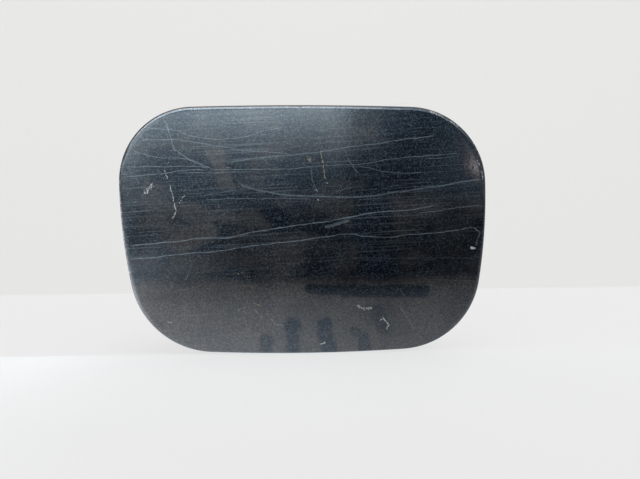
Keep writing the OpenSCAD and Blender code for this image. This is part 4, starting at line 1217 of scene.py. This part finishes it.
def make_inner_paint(material):
    tree, shader = nodes_of(material)
    place = place_in_mm(tree, door_middle)
    part = split(tree, place)
    spray = ramp(tree, noise(tree, place, 0.06, 4.0), 0.35, 0.68)
    mottle = noise(tree, place, 3.0, 2.0)
    base = blend_colour(tree, spray, (0.030, 0.038, 0.056, 1), (0.062, 0.072, 0.092, 1))
    base = blend_colour(tree, times(tree, ramp(tree, mottle, 0.5, 0.8), 0.35), base, (0.13, 0.14, 0.16, 1))
    runs = ramp(tree, noise(tree, stretch(tree, place, 0.55, 0.3, 0.035), 1.0, 3.0), 0.56, 0.72)
    runs = times(tree, runs, ramp(tree, part[2], 10.0, -45.0), 0.5)
    base = blend_colour(tree, runs, base, (0.17, 0.155, 0.135, 1))
    dust = dust_cover(tree, place, 0.3)
    base = blend_colour(tree, dust, base, DUST)
    link(tree, base, shader, "Base Color")
    metal = minus(tree, 0.45, times(tree, most(tree, dust, runs), 0.45))
    link(tree, metal, shader, "Metallic")
    rough = ramp(tree, noise(tree, place, 0.1, 3.0), 0.3, 0.7, 0.34, 0.5)
    link(tree, plus(tree, rough, times(tree, dust, 0.35)), shader, "Roughness")
    link(tree, held(tree, minus(tree, 0.55, dust)), shader, "Coat Weight")
    shader.inputs["Coat Roughness"].default_value = 0.16
    link(tree, bump(tree, noise(tree, place, 1.1, 3.0), 0.03), shader, "Normal")


make_inner_paint(inner_paint)


# %% Sealer, painted over
def make_sealer(material):
    tree, shader = nodes_of(material)
    place = place_in_mm(tree, door_middle)
    strokes = noise(tree, place, 0.9, 3.0)
    shown = ramp(tree, strokes, 0.4, 0.7)
    base = blend_colour(tree, shown, (0.050, 0.058, 0.075, 1), (0.085, 0.092, 0.105, 1))
    dust = dust_cover(tree, place, 0.4)
    link(tree, blend_colour(tree, dust, base, DUST), shader, "Base Color")
    link(tree, plus(tree, 0.42, times(tree, dust, 0.4)), shader, "Roughness")
    link(tree, bump(tree, strokes, 0.12), shader, "Normal")


make_sealer(seam_sealer)


# %% Black dip coat on the bracket
BOLT_HOLES = [(0.0, 20.0), (0.0, -20.0)]
SEAT_INNER, SEAT_OUTER = 5.3, 6.6  # radii between which a bolt's seat fades out


def make_black_coat(material):
    tree, shader = nodes_of(material)
    place = place_in_mm(tree)
    part = split(tree, place)
    uneven = noise(tree, place, 0.18, 3.0)
    base = blend_colour(tree, uneven, (0.018, 0.018, 0.020, 1), (0.040, 0.041, 0.044, 1))
    scuffs = ramp(tree, noise(tree, stretch(tree, place, 0.5, 2.0, 0.5), 1.0, 3.0), 0.6, 0.7, 0.0, 0.45)
    base = blend_colour(tree, scuffs, base, (0.12, 0.12, 0.12, 1))
    seat = 0.0
    for x, z in BOLT_HOLES:
        seat = most(tree, seat, near_spot(tree, part, x, z, SEAT_INNER, SEAT_OUTER))
    worn = times(tree, seat, ramp(tree, noise(tree, place, 0.35, 3.0), 0.25, 0.75, 0.3, 0.7))
    base = blend_colour(tree, worn, base, (0.20, 0.19, 0.18, 1))
    rust = times(tree, seat, ramp(tree, noise(tree, place, 0.45, 4.0), 0.45, 0.8, 0.0, 0.6))
    base = blend_colour(tree, rust, base, (0.13, 0.06, 0.03, 1))
    dust = dust_cover(tree, place, 0.28)
    link(tree, blend_colour(tree, dust, base, DUST), shader, "Base Color")
    link(tree, times(tree, worn, minus(tree, 1.0, rust), 0.9), shader, "Metallic")
    link(tree, ramp(tree, uneven, 0.3, 0.7, 0.32, 0.48), shader, "Roughness")
    link(tree, bump(tree, noise(tree, place, 0.8, 2.0), 0.035), shader, "Normal")


make_black_coat(black_coat)


# %% Zinc plate and spring steel
def make_zinc(material):
    tree, shader = nodes_of(material)
    place = place_in_mm(tree)
    tint = noise(tree, place, 0.14, 3.0)
    base = blend_colour(tree, ramp(tree, tint, 0.35, 0.65), (0.50, 0.52, 0.55, 1), (0.60, 0.57, 0.47, 1))
    bloom = times(tree, ramp(tree, noise(tree, place, 0.4, 4.0), 0.4, 0.8), 0.45)
    link(tree, blend_colour(tree, bloom, base, (0.62, 0.62, 0.60, 1)), shader, "Base Color")
    link(tree, minus(tree, 1.0, bloom), shader, "Metallic")
    rolled = noise(tree, stretch(tree, place, 0.12, 0.12, 3.2), 1.0, 3.0)
    rough = plus(tree, ramp(tree, rolled, 0.3, 0.7, 0.24, 0.38), times(tree, bloom, 0.5))
    link(tree, rough, shader, "Roughness")
    link(tree, bump(tree, rolled, 0.01), shader, "Normal")


def make_spring_steel(material):
    tree, shader = nodes_of(material)
    place = place_in_mm(tree)
    heat = noise(tree, stretch(tree, place, 0.12, 0.12, 0.05), 1.0, 2.0)
    base = blend_colour(tree, ramp(tree, heat, 0.38, 0.62), (0.085, 0.10, 0.15, 1), (0.20, 0.17, 0.14, 1))
    link(tree, base, shader, "Base Color")
    shader.inputs["Metallic"].default_value = 1.0
    rolled = noise(tree, stretch(tree, place, 0.2, 0.2, 4.0), 1.0, 2.0)
    link(tree, ramp(tree, rolled, 0.3, 0.7, 0.22, 0.36), shader, "Roughness")


make_zinc(zinc_plate)
make_spring_steel(spring_steel)


# %% Nylon, rubber and grained plastic
def make_nylon(material):
    tree, shader = nodes_of(material)
    place = place_in_mm(tree)
    grease = ramp(tree, noise(tree, place, 0.5, 3.0), 0.45, 0.7, 0.0, 0.7)
    link(tree, blend_colour(tree, grease, (0.72, 0.69, 0.58, 1), (0.30, 0.26, 0.19, 1)), shader, "Base Color")
    link(tree, ramp(tree, grease, 0.0, 0.7, 0.45, 0.25), shader, "Roughness")


def make_rubber(material):
    tree, shader = nodes_of(material)
    place = place_in_mm(tree)
    bloom = ramp(tree, noise(tree, place, 0.3, 4.0), 0.4, 0.75, 0.0, 0.6)
    base = blend_colour(tree, bloom, (0.016, 0.016, 0.017, 1), (0.060, 0.058, 0.055, 1))
    link(tree, blend_colour(tree, dust_cover(tree, place, 0.3), base, DUST), shader, "Base Color")
    link(tree, ramp(tree, bloom, 0.0, 0.6, 0.55, 0.8), shader, "Roughness")
    link(tree, bump(tree, noise(tree, place, 2.4, 3.0), 0.05), shader, "Normal")


def make_grained_plastic(material):
    tree, shader = nodes_of(material)
    place = place_in_mm(tree)
    grain = add(tree, "ShaderNodeTexVoronoi", {"Vector": place, "Scale": 2.2}).outputs["Distance"]
    uneven = noise(tree, place, 0.2, 2.0)
    base = blend_colour(tree, uneven, (0.018, 0.018, 0.020, 1), (0.034, 0.034, 0.037, 1))
    link(tree, blend_colour(tree, dust_cover(tree, place, 0.3), base, DUST), shader, "Base Color")
    link(tree, ramp(tree, grain, 0.0, 0.6, 0.42, 0.6), shader, "Roughness")
    link(tree, bump(tree, grain, 0.04), shader, "Normal")


make_nylon(nylon)
make_rubber(black_rubber)
make_grained_plastic(black_plastic)


# %% Mastic of the anti-flutter pads
def make_mastic():
    material = new_material("mastic")
    tree, shader = nodes_of(material)
    place = place_in_mm(tree)
    uneven = noise(tree, place, 0.6, 3.0)
    base = blend_colour(tree, uneven, (0.012, 0.012, 0.013, 1), (0.03, 0.028, 0.026, 1))
    link(tree, base, shader, "Base Color")
    link(tree, ramp(tree, noise(tree, place, 1.0, 2.0), 0.3, 0.7, 0.4, 0.65), shader, "Roughness")
    link(tree, bump(tree, noise(tree, place, 0.7, 3.0), 0.2), shader, "Normal")
    return material


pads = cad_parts["antiflutter_pads"]
for place_for_finish in pads.material_slots:
    place_for_finish.material = make_mastic()
print("pads carry", [m.name for m in pads.data.materials])

# %% [markdown]
# ## The stage
# The photograph has a white table before a white wall. The table ends a little behind the door, and
# that edge is the faint line beside it. The wall stands further off, so that the door can be looked
# at from behind as well.

# %% Table and wall
def stage_plane(name, corners, colour, glow):
    plane = mesh_object(name, corners, [(0, 1, 2, 3)])
    material = new_material(name)
    shader = nodes_of(material)[1]
    shader.inputs["Base Color"].default_value = (*colour, 1)
    shader.inputs["Roughness"].default_value = 0.9
    shader.inputs["Specular IOR Level"].default_value = 0.1
    shader.inputs["Emission Color"].default_value = (1, 1, 0.995, 1)
    shader.inputs["Emission Strength"].default_value = glow
    plane.data.materials.append(material)


TABLE_Z = cad_box[0].z - 0.1 * MM
TABLE_FRONT, TABLE_HALF = -2.5, 2
TABLE_BACK = (0.183, 0.135)  # where the table ends behind the door, on the left and on the right
WALL_Y, WALL_HALF, WALL_LOW, WALL_HIGH = 1.0, 4, -1.5, 3
table_corners = [(-TABLE_HALF, TABLE_FRONT, TABLE_Z), (TABLE_HALF, TABLE_FRONT, TABLE_Z),
                 (TABLE_HALF, TABLE_BACK[1], TABLE_Z), (-TABLE_HALF, TABLE_BACK[0], TABLE_Z)]
wall_corners = [(-WALL_HALF, WALL_Y, WALL_LOW), (WALL_HALF, WALL_Y, WALL_LOW),
                (WALL_HALF, WALL_Y, WALL_HIGH), (-WALL_HALF, WALL_Y, WALL_HIGH)]
stage_plane("table", table_corners, colour=(0.19, 0.19, 0.19), glow=0.62)
stage_plane("wall", wall_corners, colour=(0.36, 0.36, 0.352), glow=0.48)


# %% [markdown]
# ## Light
# The room is bright and even: a pale world lights table, wall and door, and a softbox overhead gives
# the thin bright line along the rolled edge. Glossy paint also mirrors what stands about it: behind
# the camera a window over a darker room, a small lamp to the right, and the white surface that the
# door stands on. Three cards that only reflections can see play these parts. They are the flags and
# reflectors of a product photographer.

# %% World and softbox
def softbox(name, at, towards, width, height, watts):
    data = bpy.data.lights.new(name, "AREA")
    data.shape = "RECTANGLE"
    data.size, data.size_y = width, height
    data.energy = watts
    lamp = bpy.data.objects.new(name, data)
    lamp.location = at
    lamp.rotation_euler = (Vector(towards) - Vector(at)).to_track_quat("-Z", "Y").to_euler()
    bpy.context.scene.collection.objects.link(lamp)
    lamp.visible_camera = False


def make_world():
    world = bpy.data.worlds.new("studio")
    world.use_nodes = True
    tree = world.node_tree
    mirrored = add(tree, "ShaderNodeLightPath").outputs["Is Glossy Ray"]
    colour = blend_colour(tree, mirrored, (0.78, 0.78, 0.78, 1), (0.4, 0.41, 0.43, 1))
    tree.links.new(colour, tree.nodes["Background"].inputs["Color"])
    bpy.context.scene.world = world


make_world()
softbox("overhead", at=(0.05, -0.05, 1.1), towards=(0.04, 0.0, 0), width=1.2, height=0.8, watts=5)


# %% Cards for the reflections
def card(name, corners, glow_rule, dim_colour, bright_colour):
    plane = mesh_object(name, corners, [(0, 1, 2, 3)])
    material = new_material(name)
    tree = material.node_tree
    tree.nodes.clear()
    strength = glow_rule(tree, *split(tree, place_in_mm(tree)))
    colour = blend_colour(tree, ramp(tree, strength, 0.1, 1.5), (*dim_colour, 1), (*bright_colour, 1))
    glow = add(tree, "ShaderNodeEmission", {"Color": colour, "Strength": strength})
    add(tree, "ShaderNodeOutputMaterial", {"Surface": glow.outputs[0]})
    plane.data.materials.append(material)
    plane.visible_camera = plane.visible_diffuse = plane.visible_transmission = plane.visible_shadow = False


def graded(tree, value, spots):
    """A line through (value, result) spots, held at both ends."""
    result = spots[0][1]
    for (v1, r1), (v2, r2) in zip(spots, spots[1:]):
        result = plus(tree, ramp(tree, value, v1, v2, 0.0, r2 - r1, smooth=False), result)
    return result


# %% The room and the lamp: how strongly they glow, by height and by side in mm
WINDOW_BY_HEIGHT = [
    (0, 0.15), (60, 0.3), (95, 0.45), (137, 0.95), (180, 1.95), (230, 3.3), (280, 5.3), (420, 5.3),
    (520, 0.4)]
WINDOW_BY_SIDE = [
    (-377, 1.0), (-330, 0.82), (-260, 0.82), (-210, 1.0), (165, 1.0), (235, 0.28), (330, 0.12), (420, 0.0)]
CEILING_BY_HEIGHT = [(690, 0.0), (770, 9.5)]
CEILING_BY_SIDE = [(180, 1.0), (330, 0.8), (500, 0.3)]
WALL_BY_SIDE = [
    (-1500, 0.5), (-700, 0.8), (-460, 1.5), (-410, 1.35), (-375, 0.6), (-290, 0.35), (-200, 0.22), (60, 0.16),
    (200, 0.0), (380, 0.02), (500, 0.26), (700, 0.42), (1200, 0.75)]
WALL_BY_HEIGHT = [(-60, 0.8), (20, 1.2), (110, 1.5), (300, 1.2), (500, 0.0)]
LAMP_BY_HEIGHT = [(-20, 0.0), (10, 1.2), (35, 2.0), (55, 11.0), (80, 11.0), (105, 3.0), (190, 1.5)]


def room_glow(tree, x, y, z):
    window = times(tree, graded(tree, z, WINDOW_BY_HEIGHT), graded(tree, x, WINDOW_BY_SIDE))
    ceiling = times(tree, graded(tree, z, CEILING_BY_HEIGHT), graded(tree, x, CEILING_BY_SIDE))
    wall = times(tree, graded(tree, x, WALL_BY_SIDE), graded(tree, z, WALL_BY_HEIGHT))
    return plus(tree, window, ceiling, wall)


def lamp_glow(tree, x, y, z):
    return graded(tree, z, LAMP_BY_HEIGHT)


# %% The white surface before the door: how strongly it glows, by distance and by side in mm
NEAR_BY_DISTANCE = [
    (-210, 0.03), (-185, 0.35), (-165, 0.65), (-145, 1.0), (-110, 1.25), (-80, 1.5), (-50, 1.8), (-15, 1.5)]
NEAR_BY_SIDE = [
    (-100, 2.9), (-70, 2.1), (-50, 1.35), (-20, 1.15), (0, 1.1), (40, 0.9), (90, 0.62), (200, 0.65)]
FAR_BY_SIDE = [
    (-600, 0.3), (-250, 1.0), (-140, 2.0), (-103, 1.75), (-71, 0.95), (-40, 0.4), (0, 0.08), (60, 0.0),
    (200, 0.0), (260, 0.3)]
FAR_BY_DISTANCE = [
    (-1100, 0.22), (-700, 0.1), (-550, 0.12), (-420, 0.42), (-340, 0.75), (-260, 1.05), (-200, 1.5)]
STRIP_BY_DISTANCE = [(-1500, 0.5), (-1000, 1.0), (-400, 1.0), (-250, 0.5)]


def floor_glow(tree, x, y, z):
    near = times(tree, graded(tree, y, NEAR_BY_DISTANCE), graded(tree, x, NEAR_BY_SIDE))
    far = times(tree, graded(tree, x, FAR_BY_SIDE), graded(tree, y, FAR_BY_DISTANCE))
    slant = minus(tree, plus(tree, x, 79.5), times(tree, y, 0.2))
    strip = times(tree, ramp(tree, slant, -10.0, 20.0, 1.0, 0.0), graded(tree, y, STRIP_BY_DISTANCE))
    return plus(tree, most(tree, near, far), strip)


# %% Set up the three cards
CARD_Y = -1.6
FLAG_BACK = door_middle.y + 6 * MM
FLAG_Z = cad_box[0].z - 0.05 * MM
ROOM_HALF, ROOM_LOW, ROOM_HIGH, FLAG_HALF = 2, -0.06, 3, 1.5
LAMP_SPOTS = [(0.583, -0.02), (0.597, -0.02), (0.54, 0.19), (0.526, 0.19)]

room_corners = [(-ROOM_HALF, CARD_Y, ROOM_LOW), (-ROOM_HALF, CARD_Y, ROOM_HIGH),
                (ROOM_HALF, CARD_Y, ROOM_HIGH), (ROOM_HALF, CARD_Y, ROOM_LOW)]
lamp_corners = [(x, CARD_Y + 0.01, z) for x, z in LAMP_SPOTS]
floor_corners = [(-FLAG_HALF, CARD_Y, FLAG_Z), (FLAG_HALF, CARD_Y, FLAG_Z),
                 (FLAG_HALF, FLAG_BACK, FLAG_Z), (-FLAG_HALF, FLAG_BACK, FLAG_Z)]
card("room_card", room_corners, room_glow, (0.72, 1.0, 1.28), (0.83, 1.0, 1.12))
card("lamp_card", lamp_corners, lamp_glow, (0.7, 0.95, 1.15), (1.0, 0.86, 0.86))
card("floor_card", floor_corners, floor_glow, (0.82, 1.0, 1.17), (0.86, 1.0, 1.13))
bpy.context.scene.view_settings.view_transform = "Standard"
